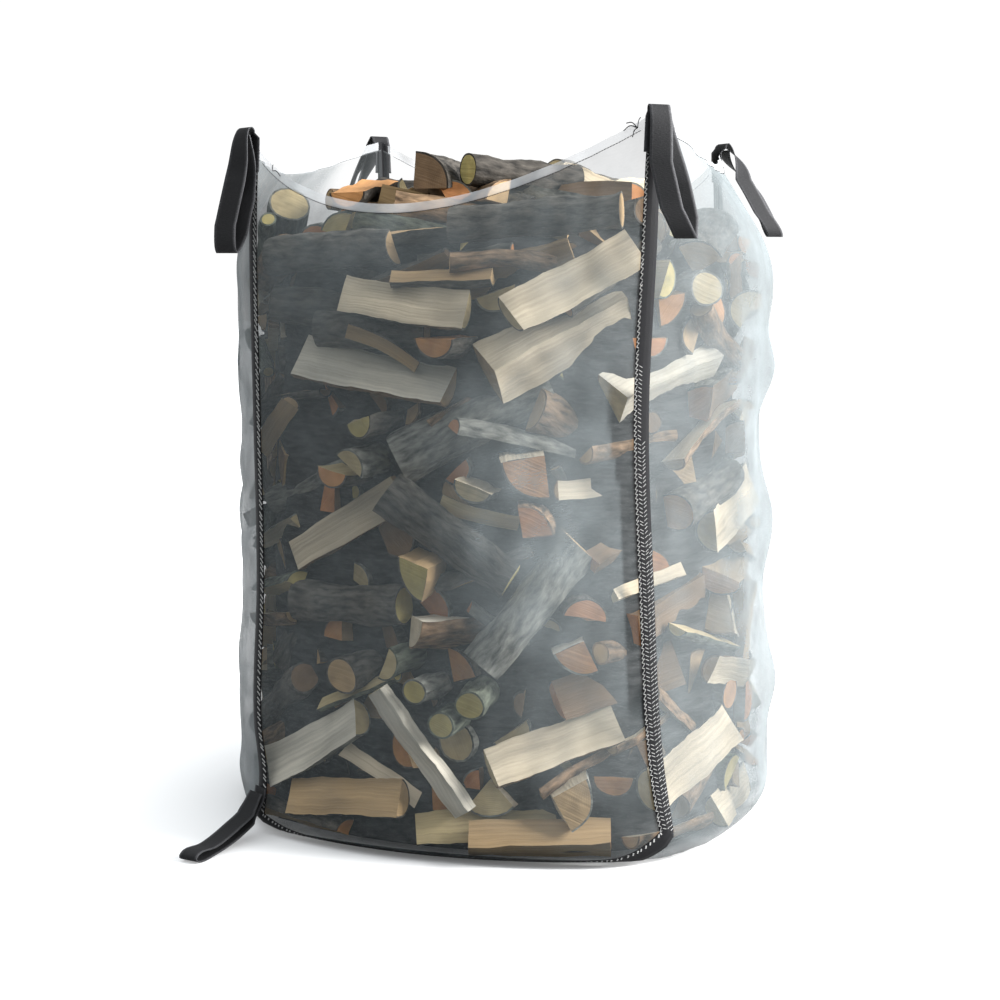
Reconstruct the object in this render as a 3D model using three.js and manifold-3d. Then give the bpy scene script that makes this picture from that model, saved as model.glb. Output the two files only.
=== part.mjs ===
// Firewood bulk bag: a tall bag of fine see-through net, sewn from a front panel, a back panel and one long strip
// that makes the left wall, the base and the right wall. Two black tapes bind the seams, a webbing loop hangs from
// each corner peak, one short loop lies at the front left foot, and split logs fill the bag.
// Millimetres, +Z up, -Y is the front, origin on the floor under the middle of the base.
import * as THREE from "three";
import { mergeVertices } from "three/addons/utils/BufferGeometryUtils.js";
import Module from "manifold-3d";

const wasm = await Module();
wasm.setup();

// Cloth, tape and webbing
const CLOTH = 2;
const HEM_DEPTH = 22;
const HEM_RAISE = 1.2;
const SEAM_SETBACK = 3;
const TAPE_HALF = 15.5;
const TAPE_THICK = 2;
const STRAP_WIDTH = 50;
const STRAP_THICK = 2.5;
const STRAP_TAIL = 84;
const GAP = 0.5;
const TAPE_GAP = 0.7;
const TAIL_GAP = 0.95;
const FOOT_SLACK = 0.32;

// Form of the filled bag
const PANEL_WIDTH = 920;
const PANEL_HEIGHT = 1600;
const SEAM_LIFT = 15;
const FOOT_ROUND = 130;
const BASE_EDGE = 150;

// Firewood
const LOG_CLEAR = 12;
const LOG_APART = 2;
const FLOOR_CLEAR = 22;
const SETTLE_STEP = 6;
const SETTLE_DEEPEST = 300;
const NUDGE_STEP = 14;
const NUDGE_RINGS = 5;
const ROUND_SIDES = 8;
const HALF_SIDES = 5;
const QUARTER_SIDES = 3;
const SLAB_SHARE = 0.5;

// Front corners at several heights. The back corners are the same two, turned half round the upright axis.
const SECTIONS = [
  { z: 0, left: -476, right: 528, front: -472 },
  { z: 130, left: -464, right: 496, front: -460 },
  { z: 270, left: -480, right: 474, front: -450 },
  { z: 600, left: -470, right: 452, front: -442 },
  { z: 1000, left: -473, right: 435, front: -440 },
  { z: 1370, left: -468, right: 452, front: -458 },
  { z: 1660, left: -460, right: 464, front: -462 },
];

// Peak of each corner over the floor, and how far its rounded foot lifts off it
const CORNERS = {
  frontLeft: { peak: 1630, foot: 24 },
  frontRight: { peak: 1663, foot: 62 },
};

// Outward belly of a wall, the share of it left at rim and foot, and the sag of the rim between two peaks
const WALLS = {
  front: { from: "frontLeft", to: "frontRight", belly: 168, rim: 0.3, foot: 0.56, sag: 172, lowest: 0.4 },
  right: { from: "frontRight", to: "frontLeft", belly: 188, rim: 0.22, foot: 0.58, sag: 66, lowest: 0.58 },
};
const SHOULDER = 270;
const FOOT_ROLL = 95;

// Places where a log pushes the cloth out (or, below zero, a hollow between logs)
const LUMPS = [
  { wall: "front", across: 0.2, z: 1090, reach: 120, push: 14 },
  { wall: "front", across: 0.55, z: 960, reach: 130, push: 12 },
  { wall: "front", across: 0.75, z: 1240, reach: 120, push: 14 },
  { wall: "front", across: 0.7, z: 560, reach: 120, push: 14 },
  { wall: "front", across: 0.35, z: 650, reach: 130, push: -12 },
  { wall: "front", across: 0.25, z: 240, reach: 110, push: 14 },
  { wall: "front", across: 0.8, z: 230, reach: 110, push: 12 },
  { wall: "right", across: 0.6, z: 1290, reach: 90, push: 14 },
  { wall: "right", across: 0.6, z: 1090, reach: 80, push: 26 },
  { wall: "right", across: 0.58, z: 940, reach: 90, push: -16 },
  { wall: "right", across: 0.6, z: 710, reach: 90, push: 28 },
  { wall: "right", across: 0.55, z: 330, reach: 90, push: 22 },
  { wall: "right", across: 0.86, z: 1090, reach: 80, push: 16 },
  { wall: "right", across: 0.86, z: 870, reach: 60, push: 18 },
  { wall: "right", across: 0.86, z: 650, reach: 70, push: 18 },
  { wall: "right", across: 0.86, z: 370, reach: 70, push: 16 },
  { wall: "right", across: 0.25, z: 930, reach: 120, push: 12 },
];

// Grid lines of the panels between the tapes, as shares of width and height
const COLUMNS = [0.065, 0.14, 0.26, 0.42, 0.58, 0.74, 0.86, 0.935];
const ROWS = [0.045, 0.1, 0.17, 0.25, 0.33, 0.41, 0.49, 0.57, 0.65, 0.73, 0.81, 0.88, 0.945];

// Lifting loops: how far each hangs out and down, turned from the corner's diagonal, its sideways lean at the
// bottom, and how far its two legs fan apart
const LOOPS = [
  { place: "front_left", corner: "frontLeft", back: false, out: 52, drop: 266, turn: 50, lean: -53, fan: 24 },
  { place: "front_right", corner: "frontRight", back: false, out: 70, drop: 268, turn: -30, lean: 59, fan: 31 },
  { place: "back_right", corner: "frontLeft", back: true, out: 120, drop: 225, turn: -90, lean: 100, fan: 24 },
  { place: "back_left", corner: "frontRight", back: true, out: 110, drop: 235, turn: 52, lean: 0, fan: 18 },
];
const TIP_LOOP = { heading: -105, length: 265, leaves: 78 };

// Logs against the front and right walls, in the order they are packed from the cloth inward. The place is the
// log's middle, or its outer end where dip is over 45; tilt turns it in the wall, dip points it into the pile.
const WALL_LOGS = [
  { wall: "front", across: -300, up: 1362, tilt: 3, dip: 4, roll: 15, length: 330, size: 92, cut: "half" },
  { wall: "front", across: 205, up: 1440, tilt: 5, dip: 4, roll: 0, length: 380, size: 84, cut: "round" },
  { wall: "front", across: -90, up: 1250, tilt: -7, dip: 6, roll: 150, length: 290, size: 96, cut: "half" },
  { wall: "front", across: 150, up: 1322, tilt: 16, dip: 7, roll: 20, length: 300, size: 80, cut: "slab" },
  { wall: "front", across: 325, up: 1300, tilt: 26, dip: 4, roll: 160, length: 330, size: 98, cut: "half" },
  { wall: "front", across: 300, up: 1176, tilt: 25, dip: 3, roll: 165, length: 350, size: 104, cut: "quarter" },
  { wall: "front", across: -190, up: 1090, tilt: -9, dip: 3, roll: 138, length: 380, size: 112, cut: "half" },
  { wall: "front", across: 5, up: 1158, tilt: 0, dip: 80, roll: 180, length: 330, size: 110, cut: "half" },
  { wall: "front", across: 98, up: 980, tilt: 24, dip: 3, roll: 0, length: 380, size: 124, cut: "round" },
  { wall: "front", across: -178, up: 978, tilt: 20, dip: 82, roll: 150, length: 330, size: 88, cut: "half" },
  { wall: "front", across: -130, up: 905, tilt: 10, dip: 82, roll: 40, length: 330, size: 82, cut: "half" },
  { wall: "front", across: -228, up: 900, tilt: 0, dip: 82, roll: 190, length: 330, size: 94, cut: "half" },
  { wall: "front", across: 215, up: 880, tilt: 60, dip: 80, roll: 215, length: 330, size: 104, cut: "quarter" },
  { wall: "front", across: 225, up: 775, tilt: 0, dip: 80, roll: 35, length: 330, size: 80, cut: "quarter" },
  { wall: "front", across: 88, up: 826, tilt: 0, dip: 80, roll: 200, length: 330, size: 94, cut: "half" },
  { wall: "front", across: 25, up: 742, tilt: -35, dip: 4, roll: 15, length: 340, size: 82, cut: "quarter" },
  { wall: "front", across: -50, up: 650, tilt: 80, dip: 82, roll: 240, length: 330, size: 78, cut: "quarter" },
  { wall: "front", across: 232, up: 585, tilt: 50, dip: 3, roll: 0, length: 350, size: 104, cut: "round" },
  { wall: "front", across: 338, up: 580, tilt: 0, dip: 78, roll: 10, length: 320, size: 112, cut: "half" },
  { wall: "front", across: 300, up: 490, tilt: 0, dip: 80, roll: 205, length: 320, size: 76, cut: "quarter" },
  { wall: "front", across: -88, up: 524, tilt: -5, dip: 50, roll: 130, length: 320, size: 84, cut: "quarter" },
  { wall: "front", across: -262, up: 566, tilt: 3, dip: 4, roll: 0, length: 300, size: 96, cut: "round" },
  { wall: "front", across: -116, up: 442, tilt: 0, dip: 80, roll: 120, length: 330, size: 86, cut: "half" },
  { wall: "front", across: -228, up: 408, tilt: 0, dip: 82, roll: 0, length: 330, size: 92, cut: "round" },
  { wall: "front", across: -45, up: 436, tilt: 0, dip: 82, roll: 0, length: 330, size: 62, cut: "round" },
  { wall: "front", across: 19, up: 322, tilt: 0, dip: 82, roll: 0, length: 330, size: 70, cut: "round" },
  { wall: "front", across: 84, up: 368, tilt: 30, dip: 76, roll: 0, length: 330, size: 76, cut: "round" },
  { wall: "front", across: -352, up: 226, tilt: 30, dip: 5, roll: 160, length: 330, size: 104, cut: "half" },
  { wall: "front", across: -40, up: 250, tilt: -53, dip: 3, roll: 30, length: 340, size: 62, cut: "slab" },
  { wall: "front", across: 288, up: 258, tilt: 17, dip: 4, roll: 142, length: 310, size: 100, cut: "half" },
  { wall: "front", across: 310, up: 146, tilt: 0, dip: 80, roll: 100, length: 330, size: 98, cut: "quarter" },
  { wall: "front", across: 115, up: 66, tilt: 3, dip: 8, roll: 145, length: 320, size: 84, cut: "half" },
  { wall: "front", across: -262, up: 108, tilt: 8, dip: 4, roll: 150, length: 330, size: 92, cut: "half" },
  { wall: "right", across: -330, up: 1080, tilt: 14, dip: 4, roll: 172, length: 330, size: 96, cut: "quarter" },
  { wall: "right", across: -270, up: 1285, tilt: 0, dip: 70, roll: 0, length: 330, size: 92, cut: "round" },
  { wall: "right", across: -60, up: 760, tilt: 12, dip: 4, roll: 170, length: 350, size: 112, cut: "half" },
  { wall: "right", across: -320, up: 205, tilt: 16, dip: 4, roll: 160, length: 340, size: 104, cut: "half" },
  { wall: "right", across: 30, up: 480, tilt: -14, dip: 4, roll: 120, length: 350, size: 112, cut: "quarter" },
  { wall: "right", across: 120, up: 1180, tilt: -20, dip: 4, roll: 200, length: 350, size: 108, cut: "half" },
];

// Logs on top of the pile: middle of each log and its heading, both seen from above, and its slope
const TOP_LOGS = [
  { x: -287, y: -201, heading: 95, slope: 6, roll: 180, length: 320, size: 92, cut: "half" },
  { x: -101, y: -145, heading: 92, slope: 0, roll: 45, length: 310, size: 84, cut: "quarter" },
  { x: 92, y: -147, heading: 48, slope: -3, roll: 0, length: 310, size: 80, cut: "round" },
  { x: 163, y: 200, heading: 70, slope: -10, roll: -45, length: 320, size: 92, cut: "half" },
  { x: -260, y: 170, heading: -35, slope: -6, roll: 0, length: 340, size: 100, cut: "half" },
  { x: -80, y: 310, heading: 20, slope: -6, roll: 140, length: 330, size: 100, cut: "quarter" },
  { x: 345, y: 70, heading: 80, slope: 4, roll: 200, length: 330, size: 100, cut: "half" },
];

// Body of the pile behind the logs: share of the bag's section filled at each height
const PILE = [
  { z: CLOTH + GAP, share: 0.6 },
  { z: 60, share: 0.84 },
  { z: 200, share: 0.89 },
  { z: 700, share: 0.88 },
  { z: 1200, share: 0.88 },
  { z: 1390, share: 0.86 },
  { z: 1475, share: 0.74 },
  { z: 1538, share: 0.48 },
  { z: 1556, share: 0.16 },
];
const PILE_RADIUS = 560;
const PILE_AROUND = 4;

const material = (name, color, extra = {}) =>
  new THREE.MeshStandardMaterial({ name, color, roughness: 0.8, ...extra });
const MATERIALS = {
  net: material("net_cloth", 0xc4cacd, { transparent: true, opacity: 0.45, side: THREE.DoubleSide }),
  tape: material("seam_tape", 0x1d1d20),
  webbing: material("webbing", 0x17171a),
  bark: material("bark", 0x6a675f),
  split: material("split_wood", 0xd6bf96),
  pile: material("stacked_wood", 0x8a7a64),
};
const group = new THREE.Group();

function addMesh(name, geometry, surface) {
  const mesh = new THREE.Mesh(geometry, surface);
  mesh.name = name;
  group.add(mesh);
  return mesh;
}

const clamp01 = (x) => Math.min(1, Math.max(0, x));
const mix = (a, b, share) => a + (b - a) * share;
const radians = (degrees) => (degrees * Math.PI) / 180;
const quarterSine = (x) => Math.sin((Math.PI / 2) * clamp01(x));
const quarterRound = (x) => Math.sqrt(1 - (1 - clamp01(x)) ** 2);
const halfTurn = (p) => new THREE.Vector3(-p.x, -p.y, p.z);

// Corner line of the bag at height z, smooth through the rows of SECTIONS
const sectionCurve = new THREE.CubicInterpolant(
  SECTIONS.map((row) => row.z),
  SECTIONS.flatMap((row) => [row.left, row.right, row.front]),
  3,
  new Float64Array(3),
);

function wallEnds(wall, z) {
  const [left, right, front] = sectionCurve.evaluate(Math.min(Math.max(z, 0), 1660));
  const frontLeft = new THREE.Vector3(left, front, z);
  const frontRight = new THREE.Vector3(right, front, z);
  return wall === "front" ? [frontLeft, frontRight] : [frontRight, halfTurn(frontLeft)];
}

function rimHeight(wall, across) {
  const { from, to, sag, lowest } = WALLS[wall];
  const skewed = Math.pow(clamp01(across), Math.log(0.5) / Math.log(lowest));
  return mix(CORNERS[from].peak, CORNERS[to].peak, across) - sag * 4 * skewed * (1 - skewed);
}

function footHeight(wall, across) {
  const { from, to } = WALLS[wall];
  const rounding = (away) => Math.pow(1 - clamp01((away * PANEL_WIDTH) / FOOT_ROUND), 2);
  return SEAM_LIFT + CORNERS[from].foot * rounding(across) + CORNERS[to].foot * rounding(1 - across);
}

// How far the wall stands out from the straight line between its two corners
function belly(wall, across, z) {
  const { belly: most, rim, foot } = WALLS[wall];
  const top = rim + (1 - rim) * quarterSine((rimHeight(wall, across) - z) / SHOULDER);
  const bottom = foot + (1 - foot) * quarterRound((z - footHeight(wall, across)) / FOOT_ROLL);
  let lumps = 0;
  for (const lump of LUMPS.filter((row) => row.wall === wall)) {
    const away = Math.hypot((across - lump.across) * PANEL_WIDTH, z - lump.z) / lump.reach;
    lumps += lump.push * Math.exp(-away * away);
  }
  return (most * top * bottom + lumps) * 4 * across * (1 - across);
}

function wallOutward(wall, z) {
  const [a, b] = wallEnds(wall, z);
  return new THREE.Vector3(b.y - a.y, a.x - b.x, 0).normalize();
}

function wallAt(wall, across, z) {
  const [a, b] = wallEnds(wall, z);
  return a.lerp(b, across).addScaledVector(wallOutward(wall, z), belly(wall, across, z));
}

// Shares up the wall go round its rolled foot in even steps, the more so the further the belly stands out
function wallPoint(wall, across, up) {
  const foot = footHeight(wall, across);
  const tall = rimHeight(wall, across) - foot;
  const round = clamp01((up * tall) / FOOT_ROLL);
  const rolled = FOOT_ROLL * mix(round, 1 - Math.cos((Math.PI / 2) * round), 4 * across * (1 - across));
  return wallAt(wall, across, foot + (round < 1 ? rolled : up * tall));
}

const leftWallPoint = (depth, up) => halfTurn(wallPoint("right", 1 - depth, up));

// Base between the four foot lines: a patch blended from its edges, flat on the floor away from them
function basePoint(along, depth) {
  const front = wallPoint("front", along, 0);
  const back = halfTurn(wallPoint("front", 1 - along, 0));
  const left = leftWallPoint(depth, 0);
  const right = wallPoint("right", depth, 0);
  const ends = [
    wallPoint("front", 0, 0),
    wallPoint("front", 1, 0),
    leftWallPoint(1, 0),
    wallPoint("right", 1, 0),
  ];
  const corners = ends[0].lerp(ends[1], along).lerp(ends[2].lerp(ends[3], along), depth);
  const point = front.lerp(back, depth).add(left.lerp(right, along)).sub(corners);
  const edge = Math.min(along, 1 - along, depth, 1 - depth) * PANEL_WIDTH;
  point.z = Math.max(point.z, SEAM_LIFT) * (1 - quarterSine(edge / BASE_EDGE));
  return point;
}

// Normals of a grid of points, facing the side from which columns cross rows counter-clockwise
function gridNormals(grid) {
  return grid.map((row, i) =>
    row.map((_, j) => {
      const across = row[Math.min(j + 1, row.length - 1)].clone().sub(row[Math.max(j - 1, 0)]);
      const along = grid[Math.min(i + 1, grid.length - 1)][j].clone().sub(grid[Math.max(i - 1, 0)][j]);
      return across.cross(along).normalize();
    }),
  );
}

function pushed(grid, normals, distance) {
  return grid.map((row, i) =>
    row.map((point, j) => point.clone().addScaledVector(normals[i][j], distance(i, j))),
  );
}

// Closed solid between an outer and an inner grid of the same size, each cell cut in two along one diagonal
function layeredSolid(outer, inner, otherDiagonal = () => false) {
  const points = [...outer.flat(), ...inner.flat()];
  const rows = outer.length;
  const columns = outer[0].length;
  const below = rows * columns;
  const index = [];
  const triangle = (a, b, c) => {
    const apart = (p, q) => points[p].distanceToSquared(points[q]) > 1e-6;
    if (apart(a, b) && apart(b, c) && apart(c, a)) index.push(a, b, c);
  };
  for (let i = 0; i < rows - 1; i += 1) {
    for (let j = 0; j < columns - 1; j += 1) {
      const a = i * columns + j;
      const b = a + 1;
      const c = b + columns;
      const d = a + columns;
      const [first, second] = otherDiagonal(i, j) ? [[a, b, d], [b, c, d]] : [[a, b, c], [a, c, d]];
      for (const [p, q, r] of [first, second]) {
        triangle(p, q, r);
        triangle(below + p, below + r, below + q);
      }
    }
  }
  const border = [];
  for (let j = 0; j < columns - 1; j += 1) border.push(j);
  for (let i = 0; i < rows - 1; i += 1) border.push(i * columns + columns - 1);
  for (let j = columns - 1; j > 0; j -= 1) border.push((rows - 1) * columns + j);
  for (let i = rows - 1; i > 0; i -= 1) border.push(i * columns);
  border.forEach((p, k) => {
    const q = border[(k + 1) % border.length];
    triangle(q, p, below + p);
    triangle(q, below + p, below + q);
  });
  const geometry = new THREE.BufferGeometry().setFromPoints(points);
  geometry.setIndex(index);
  geometry.computeVertexNormals();
  return geometry;
}

// Panels
const tapeAcross = TAPE_HALF / PANEL_WIDTH;
const tapeUp = TAPE_HALF / PANEL_HEIGHT;
const hemUp = 1 - HEM_DEPTH / PANEL_HEIGHT;
const setAcross = SEAM_SETBACK / PANEL_WIDTH;
const setUp = SEAM_SETBACK / PANEL_HEIGHT;
const panelColumns = [setAcross, tapeAcross, ...COLUMNS, 1 - tapeAcross, 1 - setAcross];
const upperRows = [tapeUp, ...ROWS, hemUp - setUp, hemUp, 1];
const seamColumns = [tapeAcross, ...COLUMNS, 1 - tapeAcross];
const underTape = (j) => j < 2 || j > panelColumns.length - 3;

const frontGrid = [setUp, ...upperRows].map((up) =>
  panelColumns.map((across) => wallPoint("front", across, up)),
);
const frontNormals = gridNormals(frontGrid);
const frontHem = (i, j) => (i >= frontGrid.length - 2 && !underTape(j) ? HEM_RAISE : 0);
const frontGeometry = layeredSolid(
  pushed(frontGrid, frontNormals, frontHem),
  pushed(frontGrid, frontNormals, () => -CLOTH),
);
addMesh("front_panel", frontGeometry, MATERIALS.net);
addMesh("back_panel", frontGeometry.clone(), MATERIALS.net).rotation.z = Math.PI;

const stripRows = [
  ...[0, ...upperRows].reverse().map((up) => (depth) => leftWallPoint(depth, up)),
  ...seamColumns.map((along) => (depth) => basePoint(along, depth)),
  ...[0, ...upperRows].map((up) => (depth) => wallPoint("right", depth, up)),
];
const stripGrid = stripRows.map((pointAt) => panelColumns.map((depth) => pointAt(depth)));
const stripNormals = gridNormals(stripGrid);
const stripHem = (i, j) => ((i < 2 || i > stripGrid.length - 3) && !underTape(j) ? HEM_RAISE : 0);
addMesh(
  "side_base_panel",
  layeredSolid(pushed(stripGrid, stripNormals, stripHem), pushed(stripGrid, stripNormals, () => -CLOTH)),
  MATERIALS.net,
);

// Seam tape: folded over the seam from the front panel's edge cells to the strip's edge cells
const lastColumn = panelColumns.length - 2;
const frontEdgeCells = [
  ...upperRows.map((_, i) => ({ row: i + 1, column: 1 })).reverse(),
  { row: 1, column: 1 },
  ...seamColumns.map((_, j) => ({ row: 1, column: j + 1 })),
  { row: 1, column: lastColumn },
  ...upperRows.map((_, i) => ({ row: i + 1, column: lastColumn })),
];
const seamLine = [
  ...[0, ...upperRows].reverse().map((up) => wallPoint("front", 0, up)),
  ...seamColumns.map((across) => wallPoint("front", across, 0)),
  ...[0, ...upperRows].map((up) => wallPoint("front", 1, up)),
];
const onFoot = (i) => i > upperRows.length && i <= upperRows.length + seamColumns.length;
const tapeBase = seamLine.map((seam, i) => {
  const { row, column } = frontEdgeCells[i];
  const [onFront, onStrip] = [frontGrid[row][column], stripGrid[i][1]];
  if (!onFoot(i)) return [onFront, seam, seam, onStrip];
  const frontSeam = onFront.clone().lerp(frontGrid[0][column], tapeUp / (tapeUp - setUp));
  const stripSeam = onStrip.clone().lerp(stripGrid[i][0], tapeAcross / (tapeAcross - setAcross));
  return [onFront, frontSeam, stripSeam, onStrip];
});
const tapeNormals = seamLine.map((_, i) => {
  const { row, column } = frontEdgeCells[i];
  const onFront = frontNormals[onFoot(i) ? 0 : row][column];
  const onStrip = stripNormals[i][onFoot(i) ? 0 : 1];
  return [onFront, onFront, onStrip, onStrip];
});
const tapeGap = (i) => TAPE_GAP + (onFoot(i) ? FOOT_SLACK : 0);
const alongFoot = (i, j) => j === 0 && i >= upperRows.length && i < upperRows.length + seamColumns.length + 1;
const tapeGeometry = layeredSolid(
  pushed(tapeBase, tapeNormals, (i) => tapeGap(i) + TAPE_THICK),
  pushed(tapeBase, tapeNormals, tapeGap),
  alongFoot,
);
addMesh("front_seam_tape", tapeGeometry, MATERIALS.tape);
addMesh("back_seam_tape", tapeGeometry.clone(), MATERIALS.tape).rotation.z = Math.PI;

// Seam, diagonal and half-width directions of a front corner at height z
function cornerFrame(name, z) {
  const along = 0.02;
  const [onFront, onSide] =
    name === "frontLeft"
      ? [wallAt("front", along, z), halfTurn(wallAt("right", 1 - along, z))]
      : [wallAt("front", 1 - along, z), wallAt("right", along, z)];
  const seam = wallAt("front", name === "frontLeft" ? 0 : 1, z);
  const toFront = onFront.sub(seam).setZ(0).normalize();
  const toSide = onSide.sub(seam).setZ(0).normalize();
  const outward = toFront.clone().add(toSide).negate().normalize();
  const lean = Math.cos(Math.asin(clamp01(-toFront.dot(outward))));
  const [first, second] = name === "frontLeft" ? [toSide, toFront] : [toFront, toSide];
  return { seam, first, second, outward, lean };
}

// Webbing loop: a tail sewn over the tape, up over the peak, out and down, round a tight bend and back to the peak
function loopGeometry({ corner, out, drop, turn, lean: aside, fan }) {
  const peak = CORNERS[corner].peak;
  const mid = TAPE_GAP + TAPE_THICK + TAIL_GAP + STRAP_THICK / 2;
  const base = [];
  const normals = [];
  for (const down of [STRAP_TAIL, STRAP_TAIL * 0.65, STRAP_TAIL * 0.3, 8]) {
    const { seam, first, second, outward, lean } = cornerFrame(corner, peak - down);
    const ridge = seam.clone().addScaledVector(outward, mid / lean);
    const half = STRAP_WIDTH / 2;
    const edge = (direction) => ridge.clone().addScaledVector(direction, half).addScaledVector(outward, GAP);
    base.push([edge(first), ridge, edge(second)]);
    const square = (direction) =>
      outward.clone().addScaledVector(direction, -outward.dot(direction)).normalize();
    normals.push([square(first), outward.clone(), square(second)]);
  }
  const { seam, first, second, outward } = cornerFrame(corner, peak);
  const hang = outward.clone().applyAxisAngle(new THREE.Vector3(0, 0, 1), radians(turn));
  const widthTop = second.clone().sub(first).normalize();
  const path = new THREE.CatmullRomCurve3(
    [
      [mid + 1, 2],
      [mid + 3, 10],
      [mid + 11, 15],
      [mid + 21, 7],
      [out * 0.62, -drop * 0.3],
      [out * 0.9, -drop * 0.68],
      [out + 2, -drop + 12],
      [out - 8, -drop],
      [out - 19, -drop + 12],
      [out * 0.9 - 24, -drop * 0.68],
      [out * 0.62 - 22, -drop * 0.3 - 4],
      [mid + 13, -2],
    ].map(([far, up]) => new THREE.Vector3(far, 0, up)),
  );
  const steps = 24;
  for (let k = 0; k <= steps; k += 1) {
    const share = k / steps;
    const at = path.getPointAt(share);
    const way = path.getTangentAt(share);
    const turned = clamp01(Math.min(share, 1 - share) * 4);
    const direction = outward.clone().lerp(hang, turned).normalize();
    const width = widthTop.clone().lerp(new THREE.Vector3(-hang.y, hang.x, 0), turned).normalize();
    const fromTails = clamp01(share / 0.25) * clamp01((1 - share) / 0.25);
    const apart = fan * (clamp01((share - 0.42) / 0.2) - 0.5) * fromTails;
    const shift = apart + aside * clamp01(-at.z / drop);
    const centre = seam.clone().addScaledVector(direction, at.x).addScaledVector(width, shift);
    centre.z += at.z;
    const face = direction.clone().multiplyScalar(way.z).setZ(-way.x).normalize();
    base.push([-0.5, 0, 0.5].map((side) => centre.clone().addScaledVector(width, side * STRAP_WIDTH)));
    normals.push([face, face, face]);
  }
  return layeredSolid(
    pushed(base, normals, () => STRAP_THICK / 2),
    pushed(base, normals, () => -STRAP_THICK / 2),
  );
}

for (const row of LOOPS) {
  const mesh = addMesh(`lifting_loop_${row.place}`, loopGeometry(row), MATERIALS.webbing);
  mesh.rotation.z = row.back ? Math.PI : 0;
}

// Tip loop: leaves the front left foot above the bend of the tape and lies folded on the floor
function tipLoopGeometry({ heading, length, leaves }) {
  const { seam, outward, lean } = cornerFrame("frontLeft", leaves);
  const start = (TAPE_GAP + TAPE_THICK + STRAP_THICK / 2) / lean;
  const way = new THREE.Vector3(Math.cos(radians(heading)), Math.sin(radians(heading)), 0);
  const path = new THREE.CatmullRomCurve3(
    [
      [start, 30],
      [start + 4, 4],
      [start + 30, -26],
      [length * 0.4, -leaves + 22],
      [length * 0.75, -leaves + 5],
      [length, -leaves + 4],
      [length + 9, -leaves + 11],
      [length, -leaves + 20],
      [length * 0.75, -leaves + 21],
      [length * 0.42, -leaves + 42],
      [start + 34, -8],
      [start + 12, 20],
    ].map(([far, up]) => new THREE.Vector3(far, 0, up)),
  );
  const base = [];
  const normals = [];
  const steps = 22;
  for (let k = 0; k <= steps; k += 1) {
    const at = path.getPointAt(k / steps);
    const tangent = path.getTangentAt(k / steps);
    const away = clamp01(at.x / 60);
    const direction = outward.clone().lerp(way, away).normalize();
    const width = new THREE.Vector3(-direction.y, direction.x, 0);
    const beside = cornerFrame("frontLeft", leaves + at.z).seam;
    const centre = beside.lerp(seam, away).addScaledVector(direction, at.x);
    centre.z = leaves + at.z;
    const face = direction.clone().multiplyScalar(tangent.z).setZ(-tangent.x).normalize();
    base.push([-0.5, 0.5].map((side) => centre.clone().addScaledVector(width, -side * STRAP_WIDTH)));
    normals.push([face, face]);
  }
  return layeredSolid(
    pushed(base, normals, () => -STRAP_THICK / 2),
    pushed(base, normals, () => STRAP_THICK / 2),
  );
}
addMesh("tip_loop_front_left", tipLoopGeometry(TIP_LOOP), MATERIALS.webbing);

// Section of a log, middle at the origin, bark towards +y
function logShape(cut, size) {
  const shape = new THREE.Shape();
  const half = size / 2;
  if (cut === "round") {
    for (let k = 0; k < ROUND_SIDES; k += 1) {
      const angle = (2 * Math.PI * k) / ROUND_SIDES;
      shape[k ? "lineTo" : "moveTo"](half * Math.cos(angle), half * 0.92 * Math.sin(angle));
    }
  } else if (cut === "half") {
    const low = -0.21 * size;
    for (let k = 0; k <= HALF_SIDES; k += 1) {
      const angle = (Math.PI * k) / HALF_SIDES;
      shape[k ? "lineTo" : "moveTo"](half * Math.cos(angle), low + half * 0.9 * Math.sin(angle));
    }
  } else if (cut === "quarter") {
    const pith = -0.58 * size;
    shape.moveTo(0, pith);
    for (let k = 0; k <= QUARTER_SIDES; k += 1) {
      const angle = Math.PI * (0.25 + (0.5 * k) / QUARTER_SIDES);
      shape.lineTo(size * Math.cos(angle), pith + size * Math.sin(angle));
    }
  } else {
    const thick = half * SLAB_SHARE;
    shape.moveTo(-half, -thick);
    shape.lineTo(half, -thick * 0.8);
    shape.lineTo(half * 0.94, thick * 0.9);
    shape.lineTo(-half * 0.9, thick);
  }
  shape.closePath();
  return shape;
}

// A log as a straight prism: axis, side directions and middle, with the corners and directions that tell it apart
function makeLog(cut, size, length, centre, axis, bark) {
  const z = axis.clone().normalize();
  const y = bark.clone().addScaledVector(z, -bark.dot(z)).normalize();
  const x = y.clone().cross(z);
  const outline = logShape(cut, size).getPoints();
  const section = outline.map((p) => x.clone().multiplyScalar(p.x).addScaledVector(y, p.y));
  const edges = section.map((p, k) => section[(k + 1) % section.length].clone().sub(p));
  const solidEdges = edges.filter((edge) => edge.lengthSq() > 1e-6).map((edge) => edge.normalize());
  const corners = [-0.5, 0.5].flatMap((end) => section.map((p) => p.clone().addScaledVector(z, end * length)));
  return {
    cut,
    size,
    length,
    centre,
    basis: new THREE.Matrix4().makeBasis(x, y, z),
    corners,
    edges: [...solidEdges, z],
    faces: [...solidEdges.map((edge) => edge.clone().cross(z).normalize()), z],
    reach: Math.max(...corners.map((p) => p.length())),
  };
}

function turnedLog(log) {
  const turn = new THREE.Matrix4().makeRotationZ(Math.PI);
  return {
    ...log,
    centre: halfTurn(log.centre),
    basis: turn.clone().multiply(log.basis),
    corners: log.corners.map(halfTurn),
    edges: log.edges.map(halfTurn),
    faces: log.faces.map(halfTurn),
  };
}

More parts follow.
